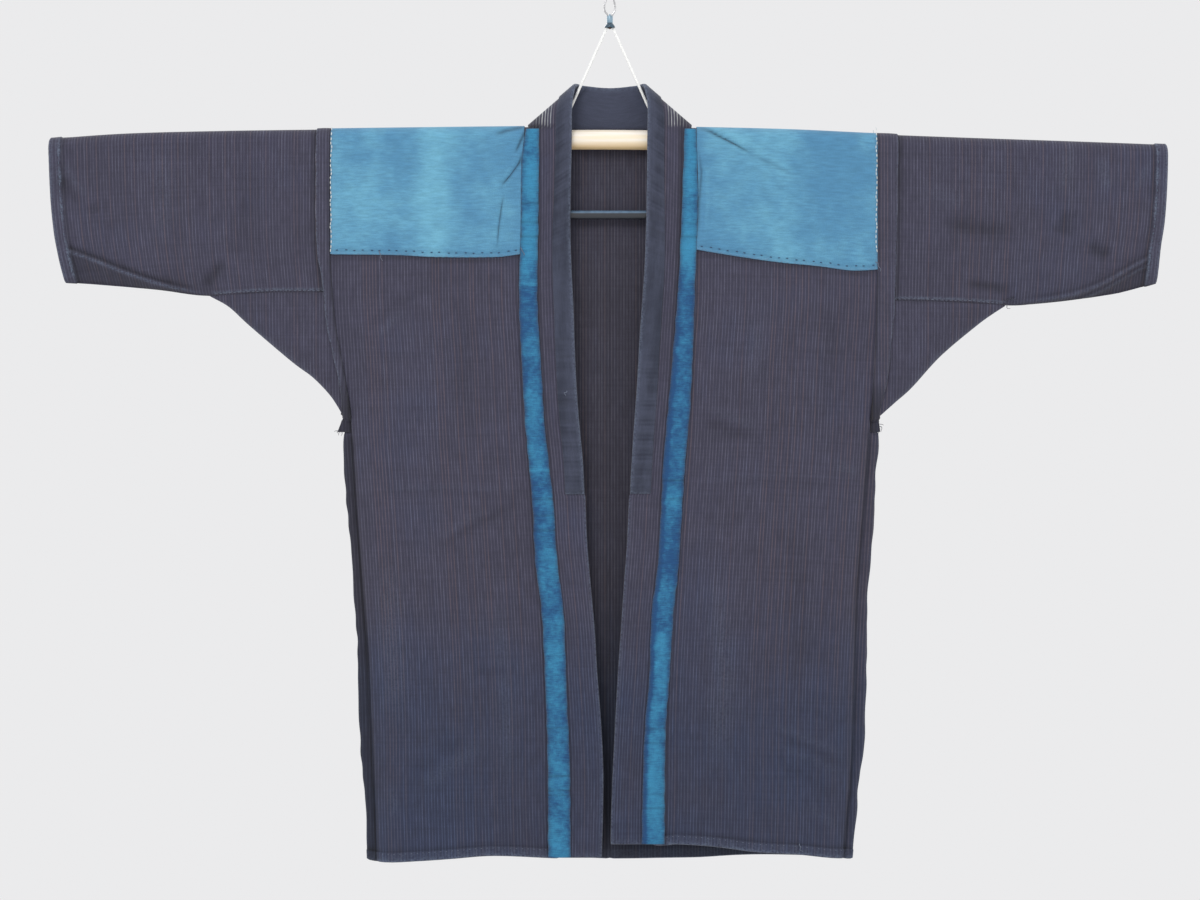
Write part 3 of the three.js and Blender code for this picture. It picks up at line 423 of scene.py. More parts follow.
def crease_lift(x, z, face):
    """Sum over the creases of height * exp(-(distance / width)^2), eased to nothing at each end.

    x is true x here. A crease is worked out only for the points near it."""
    x, z, face = np.broadcast_arrays(x, z, face)
    lift = np.zeros(x.shape)
    creases = [(-1, *row) for row in FRONT_CREASES] + [(1, *row) for row in BACK_CREASES]
    for side, points, height, width in creases:
        corners = np.array(points, float)
        low = corners.min(0) - 3 * width
        high = corners.max(0) + 3 * width
        near = (face == side) & (x > low[0]) & (x < high[0]) & (z > low[1]) & (z < high[1])
        if near.any():
            away, share = line_distance(x[near], z[near], points)
            ends = smooth_ramp(share, -0.02, 0.3) * smooth_ramp(1 - share, -0.02, 0.3)
            lift[near] += height * ends * bump(away, width)
    return lift


def crease_marks(half, x, z, angle):
    """Painted shade in the troughs, and the ridges' paler mark, partly rubbing and partly painted highlight,
    each from 0 to 1.
    """
    lift = crease_lift(half.side * x, z, np.where(angle <= 0, -1, 1))
    return np.clip(-lift / 2.4, 0, 1), np.clip(lift / 2.4, 0, 1)


def waves(x, z, seed):
    """Broad unevenness of hung cloth: three slanting sine waves, tall and narrow, between -1 and 1."""
    first = np.sin(x / 19.0 + z / 160.0 + 1.7 * seed)
    second = np.sin(x / 33.0 - z / 118.0 + 2.9 * seed)
    third = np.sin(x / 11.3 + 0.9 * np.sin(z / 70.0 + seed) + 0.6 * seed)
    return 0.42 * first + 0.38 * second + 0.2 * third


def puckers(along, seed):
    """Small gathers along a sewn line: a sine of about 9 mm whose height and pace drift, between -1 and 1."""
    pace = along / 1.45 + 1.9 * np.sin(along / 23.0 + seed)
    return np.sin(pace) * (0.6 + 0.4 * np.sin(along / 31.0 + 2 * seed))


def opening(half, x, z):
    """How far front and back have parted, 0 at the sewn lines and 1 from CLOSE_WIDTH inward.

    It is (1 - (1 - t)^2)^0.75, with t the distance to the sewn line over CLOSE_WIDTH. Beyond the side
    seam it is 0."""
    away, _ = line_distance(x, z, half.closed)
    away = np.where((z < UNDERARM) & (x > half.seam_x(z)), 0, away)
    t = np.clip(away / CLOSE_WIDTH, 0, 1)
    return (1 - (1 - t) ** 2) ** 0.75


def drape(half, x, z, face):
    """Outward shift of the cloth from its flat form: folds of the lower body, waves and creases."""
    true_x = half.side * x
    below = smooth_ramp(-z, 420, 900)
    across = smooth_ramp(x, 80, 140)
    fold = 3.5 * (0.5 - 0.5 * np.cos(2 * math.pi * (x - 70 + face * 20) / 150)) * below * across
    clear_of_collar = np.where(face < 0, smooth_ramp(x - half.collar_seam(z), 6, 20), 1)
    wave = waves(true_x, z, 1.3 + face) * (0.7 + 0.9 * smooth_ramp(-z, 350, 850))
    lift = fold + (wave + crease_lift(true_x, z, face)) * clear_of_collar
    return lift * smooth_ramp(half.crest(x) - z, 0, 9)


def wall(half, x, z, face):
    """Half depth at (x, z), from the middle plane to the middle of the cloth."""
    return CLOSED + (WRAP + drape(half, x, z, face) - CLOSED) * opening(half, x, z)


def rows_over_rod(front_drops, angles, back_drops):
    """Rows of a hanging piece from its front foot to its back foot, as columns: face, drop, angle."""
    face = np.concatenate([-np.ones(len(front_drops)), np.zeros(len(angles)), np.ones(len(back_drops))])
    drop = np.concatenate([np.sort(front_drops)[::-1], np.zeros(len(angles)), np.sort(back_drops)])
    angle = np.concatenate([np.full(len(front_drops), -90.0), angles, np.full(len(back_drops), 90.0)])
    return face[:, None], drop[:, None], np.radians(angle)[:, None]


def row_height(half, x, rows, foot):
    """Height of each row at x: the rod's level on the rod, else its drop toward foot."""
    face, drop, _ = rows
    top = half.crest(x) - WRAP
    return np.where(face == 0, top, top + (foot - top) * drop)


def hang(half, x, rows, foot):
    """Points of a hanging piece, and each point's length of cloth from the crest, below 0 in front.

    On the rod: y = r sin(angle), z = crest - WRAP + r cos(angle), with r = WRAP + drape. Below it, z
    drops to foot and y is face times the wall's half depth."""
    face, drop, angle = rows
    face, drop, angle, x, foot = np.broadcast_arrays(face, drop, angle, x, foot)
    crest = half.crest(x)
    on_rod = face == 0
    z = np.where(on_rod, crest - WRAP * (1 - np.cos(angle)), crest - WRAP + (foot - crest + WRAP) * drop)
    side = np.where(angle <= 0, -1, 1)
    lift = drape(half, x, z, side)
    y = np.where(on_rod, (WRAP + lift) * np.sin(angle), side * wall(half, x, z, side))
    length = np.where(on_rod, WRAP * angle, side * (WRAP * math.pi / 2 + crest - WRAP - z))
    z = np.where(on_rod, z + lift * np.cos(angle), z)
    return np.stack([half.side * x, y, z], -1), length


def mesh_piece(name, points, faces, uv=None, paint=None):
    """A smooth mesh object from points in millimetres and arrays of three- and four-cornered faces.

    Faces are turned round together if their signed volume says that they face inward. uv holds two
    metres for each point, and paint holds named values for each point."""
    points = np.asarray(points, float).reshape(-1, 3)
    volume = sum(
        np.einsum("ij,ij->i", points[f[:, 0]], np.cross(points[f[:, k]], points[f[:, k + 1]])).sum()
        for f in faces for k in range(1, f.shape[1] - 1)
    )
    if volume < 0:
        faces = [f[:, ::-1] for f in faces]
    corners = np.concatenate([f.ravel() for f in faces]).astype(np.int32)
    sizes = np.concatenate([np.full(len(f), f.shape[1]) for f in faces])
    mesh = bpy.data.meshes.new(name)
    mesh.vertices.add(len(points))
    mesh.vertices.foreach_set("co", (points * MM).astype(np.float32).ravel())
    mesh.loops.add(len(corners))
    mesh.loops.foreach_set("vertex_index", corners)
    mesh.polygons.add(len(sizes))
    starts = np.concatenate([[0], np.cumsum(sizes)[:-1]]).astype(np.int32)
    mesh.polygons.foreach_set("loop_start", starts)
    mesh.polygons.foreach_set("use_smooth", np.ones(len(sizes), bool))
    if uv is not None:
        layer = mesh.uv_layers.new(name="weave")
        layer.data.foreach_set("uv", np.asarray(uv).reshape(-1, 2)[corners].astype(np.float32).ravel())
    for key, values in (paint or {}).items():
        attribute = mesh.attributes.new(key, "FLOAT", "POINT")
        attribute.data.foreach_set("value", np.ravel(values).astype(np.float32))
    mesh.update(calc_edges=True)
    mesh.validate()
    made = bpy.data.objects.new(name, mesh)
    bpy.context.scene.collection.objects.link(made)
    return made


def grid_normals(grid, outward):
    """Unit normals of a grid: (step to the next column) x (step to the next row), times outward."""
    return outward * unit(np.cross(np.gradient(grid, axis=1), np.gradient(grid, axis=0)))


def weave_map(across, along):
    """Places on the cloth, in millimetres: across the stripes and along them."""
    return np.stack(np.broadcast_arrays(across, along), -1)


def border(rows, cols):
    """Row and column numbers once round the border of a grid."""
    down, across = np.arange(1, rows), np.arange(cols)
    top, foot = np.zeros(cols, int), np.full(cols - 1, rows - 1)
    start, end = np.zeros(rows - 2, int), np.full(rows - 1, cols - 1)
    return (
        np.concatenate([top, down, foot, down[-2::-1]]),
        np.concatenate([across, end, across[-2::-1], start]),
    )


def shell(name, grid, outward, outer, inner, uv, paint, under=None):
    """A closed thin wall: the grid moved along its normals by outer and by inner, with a rounded edge.

    The edge's middle line lies half way between the two layers and 0.45 of the wall further out. under
    holds the painted values of the inner layer where they differ."""
    rows, cols = grid.shape[:2]
    outer = np.broadcast_to(outer, (rows, cols))[..., None]
    inner = np.broadcast_to(inner, (rows, cols))[..., None]
    normal = grid_normals(grid, outward)
    r, c = border(rows, cols)
    beyond = unit(grid[r, c] - grid[np.clip(r, 1, rows - 2), np.clip(c, 1, cols - 2)])
    half_wall = (outer - inner) / 2
    edge = (grid + normal * (outer + inner) / 2)[r, c] + beyond * (0.9 * half_wall)[r, c]
    layers = [(grid + normal * shift).reshape(-1, 3) for shift in (outer, inner)]
    points = np.concatenate([*layers, edge])
    number = np.arange(rows * cols).reshape(rows, cols)
    a, b, d, e = number[:-1, :-1], number[:-1, 1:], number[1:, 1:], number[1:, :-1]
    top = np.stack([a, b, d, e], -1).reshape(-1, 4)
    lower = np.stack([a, e, d, b], -1).reshape(-1, 4) + rows * cols
    ring = number[r, c]
    following = np.roll(ring, -1)
    middle = 2 * rows * cols + np.arange(len(ring))
    middle_next = np.roll(middle, -1)
    rim_top = np.stack([following, ring, middle, middle_next], -1)
    rim_under = np.stack([middle_next, middle, ring + rows * cols, following + rows * cols], -1)
    uv = np.asarray(uv) * MM
    full_uv = np.concatenate([uv.reshape(-1, 2), uv.reshape(-1, 2), uv[r, c]])
    on_points = {}
    for key, value in paint.items():
        value = np.broadcast_to(value, (rows, cols))
        inside = np.broadcast_to((under or {}).get(key, value), (rows, cols))
        on_points[key] = np.concatenate([value.ravel(), inside.ravel(), value[r, c]])
    return mesh_piece(name, points, [top, lower, rim_top, rim_under], full_uv, on_points)


def tube_faces(rings, sides):
    """Walls between rings of points, and caps to the two poles that come after the rings."""
    number = np.arange(rings * sides).reshape(rings, sides)
    right = np.roll(number, -1, axis=1)
    walls = np.stack([number[:-1], right[:-1], right[1:], number[1:]], -1).reshape(-1, 4)
    first = np.stack([right[0], number[0], np.full(sides, rings * sides)], -1)
    last = np.stack([number[-1], right[-1], np.full(sides, rings * sides + 1)], -1)
    return walls, np.concatenate([first, last])


def sweep(name, centres, radii, sides, direction=None, lobes=None):
    """Rings round a path in the x-z plane, closed by a pole at each end.

    Each ring's axes are y and the path's direction turned a quarter. lobes is (number, height, turn per
    millimetre) of the strands of a twisted cord: r is the radius times 1 - height + 2 height |cos|."""
    centres = np.asarray(centres, float)
    radii = np.asarray(radii, float)[:, None]
    if direction is None:
        direction = np.gradient(centres, axis=0)
    across = np.cross(unit(np.broadcast_to(direction, centres.shape)), [0.0, 1.0, 0.0])
    angle = np.linspace(0, 2 * math.pi, sides, endpoint=False)[None, :]
    length = length_along(centres)[:, None]
    if lobes:
        strands, height, turn = lobes
        radii = radii * (1 - height + height * 2 * np.abs(np.cos(0.5 * strands * (angle + turn * length))))
    ring = (radii * np.cos(angle))[..., None] * across[:, None, :]
    ring = ring + (radii * np.sin(angle))[..., None] * np.array([0.0, 1.0, 0.0])
    points = np.concatenate([(centres[:, None, :] + ring).reshape(-1, 3), centres[:1], centres[-1:]])
    uv = np.stack(np.broadcast_arrays(length, angle * radii.mean()), -1).reshape(-1, 2) * MM
    uv = np.concatenate([uv, uv[:1], uv[-1:]])
    return mesh_piece(name, points, tube_faces(len(centres), sides), uv)


def dress(piece, slot, material, *nodes):
    """Puts a piece on the fixed body with its material and hides the nodes that it stands for. slot is not
    used.
    """
    piece.data.materials.append(material)
    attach(piece, "root")
    if nodes:
        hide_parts(*nodes)
    return piece


# Shader nodes


def add_node(tree, kind, inputs=None, **settings):
    """A node with its settings, each input linked to a socket or set to a value."""
    made = tree.nodes.new(kind)
    for name, value in settings.items():
        setattr(made, name, value)
    for key, value in (inputs or {}).items():
        if isinstance(value, bpy.types.NodeSocket):
            tree.links.new(value, made.inputs[key])
        else:
            made.inputs[key].default_value = value
    return made


def calc(tree, operation, *values, clamp=False):
    """The result of a Math node."""
    inputs = dict(enumerate(values))
    return add_node(tree, "ShaderNodeMath", inputs, operation=operation, use_clamp=clamp).outputs[0]


def blend(tree, factor, first, second, kind="MIX"):
    """The colour from first to second by factor."""
    inputs = {0: factor, 6: first, 7: second}
    return add_node(tree, "ShaderNodeMix", inputs, data_type="RGBA", blend_type=kind).outputs[2]


def ramp(tree, value, low, high, to_low=0.0, to_high=1.0):
    """value mapped smoothly from low..high to to_low..to_high."""
    inputs = {0: value, 1: low, 2: high, 3: to_low, 4: to_high}
    return add_node(tree, "ShaderNodeMapRange", inputs, interpolation_type="SMOOTHSTEP").outputs[0]


def noise(tree, vector, scale, detail=3.0, roughness=0.55, kind="3D"):
    """A noise value, about 0.5."""
    inputs = {"Vector": vector, "Scale": scale, "Detail": detail, "Roughness": roughness}
    return add_node(tree, "ShaderNodeTexNoise", inputs, noise_dimensions=kind).outputs[0]


def cloud(tree, vector, scale, detail=2.0, roughness=0.55):
    """A noise value, about 0."""
    return calc(tree, "SUBTRACT", noise(tree, vector, scale, detail, roughness), 0.5)


def random_of(tree, number):
    """A random value from 0 to 1 that belongs to a whole number."""
    return add_node(tree, "ShaderNodeTexWhiteNoise", {"W": number}, noise_dimensions="1D").outputs["Value"]


def parts_of(tree, vector):
    """The three parts of a vector."""
    return add_node(tree, "ShaderNodeSeparateXYZ", {0: vector}).outputs


def stretched(tree, vector, scale):
    """A vector with each part multiplied by its own number."""
    return add_node(tree, "ShaderNodeVectorMath", {0: vector, 1: scale}, operation="MULTIPLY").outputs[0]


def relief(tree, shader, height, strength, distance):
    """Bumps the surface by a height."""
    inputs = {"Height": height, "Strength": strength, "Distance": distance}
    tree.links.new(add_node(tree, "ShaderNodeBump", inputs).outputs[0], shader.inputs["Normal"])


def painted(tree, name):
    """A value painted on the piece's points."""
    return add_node(tree, "ShaderNodeAttribute", attribute_name=name).outputs["Fac"]


def colour_value(colour):
    """A four-part colour from a property."""
    return (*colour, 1.0)


def new_group(name, inputs, outputs):
    """A shader node group with named float, colour or vector sockets, and its two end nodes."""
    tree = bpy.data.node_groups.new(name, "ShaderNodeTree")
    for direction, sockets in (("INPUT", inputs), ("OUTPUT", outputs)):
        for label, kind in sockets:
            tree.interface.new_socket(label, in_out=direction, socket_type=f"NodeSocket{kind}")
    return tree, tree.nodes.new("NodeGroupInput").outputs, tree.nodes.new("NodeGroupOutput").inputs


def stripe_group():
    """Thin woven lines across U: a pulse in each pitch, each line with its own strength, place and tint.

    Line strength also drifts along the thread, as slubbed yarn does."""
    tree, given, result = new_group(
        "stripe lines",
        [("Weave", "Vector"), ("Pitch", "Float"), ("Width", "Float"), ("Unevenness", "Float")],
        [("Line", "Float"), ("Warm", "Float")],
    )
    parts = parts_of(tree, given["Weave"])
    place = calc(tree, "DIVIDE", parts[0], given["Pitch"])
    cell = calc(tree, "FLOOR", place)
    own = random_of(tree, cell)
    other = random_of(tree, calc(tree, "ADD", cell, 71.3))
    inside = calc(tree, "FRACT", place)
    off_centre = calc(tree, "MULTIPLY", calc(tree, "SUBTRACT", other, 0.5), 0.22)
    shifted = calc(tree, "ADD", inside, off_centre)
    away = calc(tree, "ABSOLUTE", calc(tree, "SUBTRACT", shifted, 0.5))
    pulse = ramp(tree, away, given["Width"], calc(tree, "MULTIPLY", given["Width"], 0.45))
    along = add_node(
        tree, "ShaderNodeCombineXYZ",
        {0: calc(tree, "MULTIPLY", cell, 3.7), 1: calc(tree, "MULTIPLY", parts[1], 38.0)},
    ).outputs[0]
    slub = ramp(tree, noise(tree, along, 1.0, 2.0, kind="2D"), 0.25, 0.75, 0.5, 1.2)
    weight = calc(tree, "SUBTRACT", 1.0, calc(tree, "MULTIPLY", given["Unevenness"], own))
    strength = calc(tree, "MULTIPLY", calc(tree, "MULTIPLY", pulse, weight), slub, clamp=True)
    tree.links.new(strength, result["Line"])
    is_warm = calc(tree, "GREATER_THAN", other, 0.8)
    tree.links.new(calc(tree, "MULTIPLY", strength, is_warm), result["Warm"])
    return tree


def weave_group():
    """Height of a plain weave, whose threads of both directions cross over and under.

    It is sin(pi u) * sin(pi v), u and v counted in threads, plus a fine noise for the yarn's fuzz."""
    tree, given, result = new_group(
        "plain weave",
        [("Weave", "Vector"), ("Thread", "Float"), ("Fuzz", "Float")],
        [("Height", "Float"), ("Speckle", "Float")],
    )
    counted = [calc(tree, "DIVIDE", part, given["Thread"]) for part in parts_of(tree, given["Weave"])[:2]]
    sines = [calc(tree, "SINE", calc(tree, "MULTIPLY", count, math.pi)) for count in counted]
    fuzz = noise(tree, given["Weave"], 900.0, 3.0, 0.6)
    slub = noise(tree, stretched(tree, given["Weave"], (420.0, 60.0, 1.0)), 1.0, 2.0)
    yarn = calc(tree, "ADD", fuzz, slub)
    over = calc(tree, "MULTIPLY", *sines)
    height = calc(tree, "ADD", over, calc(tree, "MULTIPLY", yarn, given["Fuzz"]))
    tree.links.new(height, result["Height"])
    tree.links.new(calc(tree, "SUBTRACT", yarn, 1.0), result["Speckle"])
    return tree


def dye_group():
    """Uneven indigo: a broad cloud with streaks along the warp, small blotches, and streaks along the weft.

    Each is about 0."""
    tree, given, result = new_group(
        "uneven dye",
        [("Place", "Vector"), ("Weave", "Vector"), ("Scale", "Float"), ("Streak", "Float")],
        [("Cloud", "Float"), ("Blotch", "Float"), ("Weft", "Float")],
    )
    place, weave = given["Place"], given["Weave"]
    broad = cloud(tree, place, given["Scale"], 4.0, 0.6)
    warp = cloud(tree, stretched(tree, weave, (260.0, 14.0, 1.0)), 1.0)
    streaks = calc(tree, "MULTIPLY", warp, given["Streak"])
    tree.links.new(calc(tree, "ADD", broad, streaks), result["Cloud"])
    small = cloud(tree, place, calc(tree, "MULTIPLY", given["Scale"], 7.0), 3.0)
    tree.links.new(small, result["Blotch"])
    weft = cloud(tree, stretched(tree, weave, (11.0, 340.0, 1.0)), 1.0)
    tree.links.new(weft, result["Weft"])
    return tree


def wear_group():
    """Rubbed places and painted ridge highlight, broken up by a noise of a few millimetres and by the weave.
    """
    tree, given, result = new_group(
        "rubbed edge and highlight", [("Wear", "Float"), ("Place", "Vector"), ("Grain", "Float")], [("Mask", "Float")]
    )
    broken = noise(tree, given["Place"], given["Grain"], 4.0, 0.7)
    mask = calc(tree, "MULTIPLY", given["Wear"], ramp(tree, broken, 0.36, 0.62), clamp=True)
    tree.links.new(mask, result["Mask"])
    return tree


def shared_groups():
    """The node groups that the cloths share, made once."""
    makers = {
        "stripe lines": stripe_group, "plain weave": weave_group, "uneven dye": dye_group,
        "rubbed edge and highlight": wear_group,
    }
    return {name: bpy.data.node_groups.get(name) or make() for name, make in makers.items()}


def use_group(tree, name, inputs):
    """One of the shared groups placed in a material with its own values."""
    return add_node(tree, "ShaderNodeGroup", inputs, node_tree=shared_groups()[name]).outputs


def new_material(name, roughness, **values):
    """An empty material: its tree, its Principled node, and its Object and weave coordinates."""
    material = bpy.data.materials.new(name)
    material.use_nodes = True
    tree = material.node_tree
    shader = tree.nodes["Principled BSDF"]
    shader.inputs["Roughness"].default_value = roughness
    for label, value in values.items():
        shader.inputs[label.replace("_", " ")].default_value = value
    place = add_node(tree, "ShaderNodeTexCoord").outputs["Object"]
    weave = add_node(tree, "ShaderNodeUVMap", uv_map="weave").outputs[0]
    return material, tree, shader, place, weave


def cloth_finish(tree, shader, colour, place, weave, thread, worn_and_highlight, strength):
    """The end of every cloth: speckled yarn, rubbed edges, painted ridge highlight, painted shade, the
    weave's relief.
    """
    woven = use_group(tree, "plain weave", {"Weave": weave, "Thread": thread, "Fuzz": 0.6})
    speckle = ramp(tree, woven["Speckle"], -0.35, 0.35, 0.86, 1.14)
    colour = blend(tree, 1.0, colour, speckle, "MULTIPLY")
    # Rubbed places, and the painted highlight of crease ridges, turn toward the worn colour.
    rubbed = use_group(tree, "rubbed edge and highlight", {"Wear": painted(tree, "wear_and_highlight"), "Place": place, "Grain": 420.0})
    colour = blend(tree, rubbed["Mask"], colour, colour_value(worn_and_highlight))
    shade = calc(tree, "SUBTRACT", 1.0, painted(tree, "shade"), clamp=True)
    colour = blend(tree, 1.0, colour, shade, "MULTIPLY")
    tree.links.new(colour, shader.inputs["Base Color"])
    relief(tree, shader, woven["Height"], strength, 0.0003)


def striped_cotton(cloth):
    """Dark indigo cotton with thin grey-lilac lines, bluer and more faded down the body."""
    material, tree, shader, place, weave = new_material(
        "striped cotton", 0.92, Sheen_Weight=0.12, Sheen_Roughness=0.5
    )
    lines = use_group(
        tree, "stripe lines",
        {"Weave": weave, "Pitch": cloth.stripe_pitch, "Width": cloth.line_width, "Unevenness": 0.4},
    )
    colour = blend(tree, lines["Line"], colour_value(cloth.ground), colour_value(cloth.line))
    colour = blend(tree, lines["Warm"], colour, colour_value(cloth.warm))
    pale = calc(tree, "MULTIPLY", lines["Line"], painted(tree, "pale_lines"), clamp=True)
    colour = blend(tree, pale, colour, colour_value(cloth.pale_line))
    dye = use_group(tree, "uneven dye", {"Place": place, "Weave": weave, "Scale": 7.0, "Streak": 0.5})
    low = ramp(tree, parts_of(tree, place)[2], cloth.low_start, cloth.low_full, 0.0, 0.8)
    blue = calc(tree, "ADD", low, calc(tree, "MULTIPLY", dye["Cloud"], 1.5), clamp=True)
    bluer = blend(tree, 1.0, colour, colour_value(cloth.low_tint), "MULTIPLY")
    colour = blend(tree, blue, colour, bluer)
    unfaded = blend(tree, 1.0, colour, colour_value(cloth.inside_tint), "MULTIPLY")
    colour = blend(tree, painted(tree, "inner_side"), colour, unfaded)
    uneven = calc(tree, "ADD", dye["Cloud"], calc(tree, "MULTIPLY", dye["Blotch"], 0.6))
    uneven = calc(tree, "ADD", uneven, calc(tree, "MULTIPLY", dye["Weft"], 0.7))
    colour = blend(tree, 1.0, colour, ramp(tree, uneven, -0.4, 0.4, 0.86, 1.14), "MULTIPLY")
    cloth_finish(tree, shader, colour, place, weave, cloth.thread_pitch, cloth.worn_and_highlight, 0.35)
    return material


def dyed_cotton(cloth, name, colour, pale, scale, contrast, streak, weft=False):
    """Plain cotton between two colours by its uneven dye, painted fading and shading, streaked along the warp
    or weft.
    """
    material, tree, shader, place, weave = new_material(name, 0.92, Sheen_Weight=0.15, Sheen_Roughness=0.5)
    along, streaks = weave, weave
    if weft:
        parts = parts_of(tree, weave)
        along = add_node(tree, "ShaderNodeCombineXYZ", {0: parts[1], 1: parts[0]}).outputs[0]
        streaks = stretched(tree, along, (4.0, 8.0, 1.0))
    dye = use_group(tree, "uneven dye", {"Place": place, "Weave": streaks, "Scale": scale, "Streak": streak})
    mixed = calc(tree, "ADD", dye["Cloud"], calc(tree, "MULTIPLY", dye["Blotch"], 0.5))
    tone = ramp(tree, calc(tree, "ADD", mixed, painted(tree, "fade")), -contrast, contrast)
    colour = blend(tree, tone, colour_value(colour), colour_value(pale))
    cloth_finish(tree, shader, colour, place, along, cloth.thread_pitch * 1.15, cloth.worn_and_highlight, 0.45)
    return material


def thread_material(name, colour):
    """Sewing thread and cord: unevenly lit fibres with a fine fuzz."""
    material, tree, shader, place, _ = new_material(name, 0.8, Sheen_Weight=0.2)
    uneven = ramp(tree, noise(tree, place, 700.0, 3.0), 0.3, 0.7, 0.82, 1.1)
    tree.links.new(blend(tree, 1.0, colour_value(colour), uneven, "MULTIPLY"), shader.inputs["Base Color"])
    relief(tree, shader, noise(tree, place, 2500.0, 2.0), 0.3, 0.0002)
    return material


def underside(tree, weave, radius, start, end):
    """1 along the lowest line of a level rod of this radius.

    It goes from 0 at start to 1 at end, both shares of the way from the top down to that line."""
    lowest = math.pi * radius * MM
    from_foot = calc(tree, "ABSOLUTE", calc(tree, "SUBTRACT", parts_of(tree, weave)[1], lowest))
    return ramp(tree, from_foot, lowest * start, lowest * end)


def wood_material(hanger):
    """Pale smooth wood: grain lines along the rod, a little darker in the late wood, and a painted orange
    shade below.
    """
    material, tree, shader, place, weave = new_material(
        "pale wood", 0.5, Coat_Weight=0.15, Coat_Roughness=0.35
    )
    grain = noise(tree, stretched(tree, place, (6.0, 160.0, 160.0)), 1.0, 5.0, 0.6)
    late = ramp(tree, grain, 0.35, 0.7)
    colour = blend(tree, late, colour_value(hanger.wood), colour_value(hanger.wood_grain))
    # Painted shade: the rod darkens to a warm orange along its underside.
    below = underside(tree, weave, ROD_RADIUS, 0.5, 0.15)
    colour = blend(tree, below, colour, colour_value(hanger.wood_painted_shade))
    tree.links.new(colour, shader.inputs["Base Color"])
    tree.links.new(ramp(tree, grain, 0.3, 0.7, 0.42, 0.58), shader.inputs["Roughness"])
    relief(tree, shader, grain, 0.15, 0.0004)
    return material


def smooth_material(name, colour, roughness, metallic=0.0, coat=0.0, under=None):
    """Moulded or painted stuff, faintly clouded in colour and gloss. under is the colour of a painted shade
    below.
    """
    material, tree, shader, place, weave = new_material(name, roughness, Metallic=metallic, Coat_Weight=coat)
    clouding = noise(tree, place, 160.0, 4.0)
    level = ramp(tree, clouding, 0.3, 0.7, 0.88, 1.12)
    colour = blend(tree, 1.0, colour_value(colour), level, "MULTIPLY")
    # Painted shade: the colour turns to under along the bar's underside.
    if under is not None:
        below = underside(tree, weave, BAR_RADIUS, 0.41, 0.33)
        colour = blend(tree, below, colour, colour_value(under))
    tree.links.new(colour, shader.inputs["Base Color"])
    gloss = ramp(tree, clouding, 0.3, 0.7, roughness * 0.8, roughness * 1.25)
    tree.links.new(gloss, shader.inputs["Roughness"])
    relief(tree, shader, noise(tree, place, 1800.0, 2.0), 0.05, 0.0001)
    return material


def plain_material(name, colour):
    """The stage's matt finish, with hardly visible clouding."""
    material, tree, shader, place, _ = new_material(name, 0.9)
    level = ramp(tree, noise(tree, place, 3.0, 3.0), 0.2, 0.8, 0.98, 1.02)
    tree.links.new(blend(tree, 1.0, colour_value(colour), level, "MULTIPLY"), shader.inputs["Base Color"])
    return material


def material_named(name, make):
    """A material made the first time that it is asked for."""
    return bpy.data.materials.get(name) or make()


def striped(context):
    """The striped cotton of the body, sleeves, gussets, allowances and band."""
    return material_named("striped cotton", lambda: striped_cotton(context.scene.hanten_cloth))


def faded_thread(context):
    """The faded thread of seams, hems and loose ends."""
    colour = context.scene.hanten_cloth.faded_thread
    return material_named("faded thread", lambda: thread_material("faded thread", colour))


# Sizes and colours that a user would change


def colour_property(label, text, value):
    """A colour with a name and a description."""
    return FloatVectorProperty(name=label, description=text, default=value, subtype="COLOR", min=0, max=1)


def length_property(label, text, value):
    """A length in metres with a name and a description."""
    return FloatProperty(name=label, description=text, default=value, unit="LENGTH", precision=5)


def power_property(label, text, value):
    """A light's power with a name and a description."""
    return FloatProperty(name=label, description=text, default=value, subtype="POWER")


class HantenCloth(bpy.types.PropertyGroup):
    """Weaves and dyes of the jacket's cloths, and its threads."""

    stripe_pitch: length_property("Stripe pitch", "From one woven line to the next", 0.0035)
    thread_pitch: length_property("Thread pitch", "From one thread to the next", 0.00055)
    line_width: FloatProperty(name="Line width", description="Half a line's share of the pitch", default=0.2)
    ground: colour_property("Ground", "Dark ground of the striped cotton", (0.0420, 0.0398, 0.0690))
    line: colour_property("Line", "Thin lines of the striped cotton", (0.089, 0.088, 0.131))
    warm: colour_property("Warm line", "The few reddish lines", (0.092, 0.073, 0.096))
    pale_line: colour_property("Pale line", "Whitish lines of the band at the shoulders", (0.46, 0.47, 0.47))
    inside_tint: colour_property("Inside tint", "Tint of the less faded inner side", (1.0, 0.97, 0.88))
    low_tint: colour_property("Low tint", "Tint of the bluer lower body", (0.59, 0.78, 0.95))
    low_start: length_property("Low start", "Height where the bluer tint starts", -0.60)
    low_full: length_property("Low full", "Height where the bluer tint is full", -0.86)
    # The worn colour is also the painted highlight on crease ridges.
    worn_and_highlight: colour_property("Worn", "Rubbed folds and hems", (0.16, 0.20, 0.28))
    plain: colour_property("Plain", "The navy over-collar", (0.023, 0.028, 0.050))
    # The pale colours of the over-collar and the patches also serve as painted light on wrinkles and crease
    # ridges.
    plain_pale: colour_property("Plain pale", "Faded places of the over-collar", (0.050, 0.058, 0.095))
    light: colour_property("Light blue", "Deeper places of the shoulder patches", (0.078, 0.245, 0.415))
    light_pale: colour_property("Light blue pale", "Faded places of the patches", (0.170, 0.450, 0.605))
    deep: colour_property("Deep blue", "Deeper places of the blue strips", (0.009, 0.070, 0.20))
    deep_pale: colour_property("Deep blue pale", "Faded places of the blue strips", (0.036, 0.240, 0.425))
    blue_thread: colour_property("Blue thread", "Running stitches of the patches", (0.016, 0.055, 0.13))
    pale_thread: colour_property("Pale thread", "Selvage dashes of the patches", (0.70, 0.74, 0.74))
    faded_thread: colour_property("Faded thread", "Seams, hems and loose ends", (0.135, 0.16, 0.22))
    rubbed_thread: colour_property("Rubbed thread", "Stitches of the cuffs", (0.12, 0.165, 0.235))
    navy_thread: colour_property("Navy thread", "Frayed corners and knot", (0.030, 0.032, 0.052))


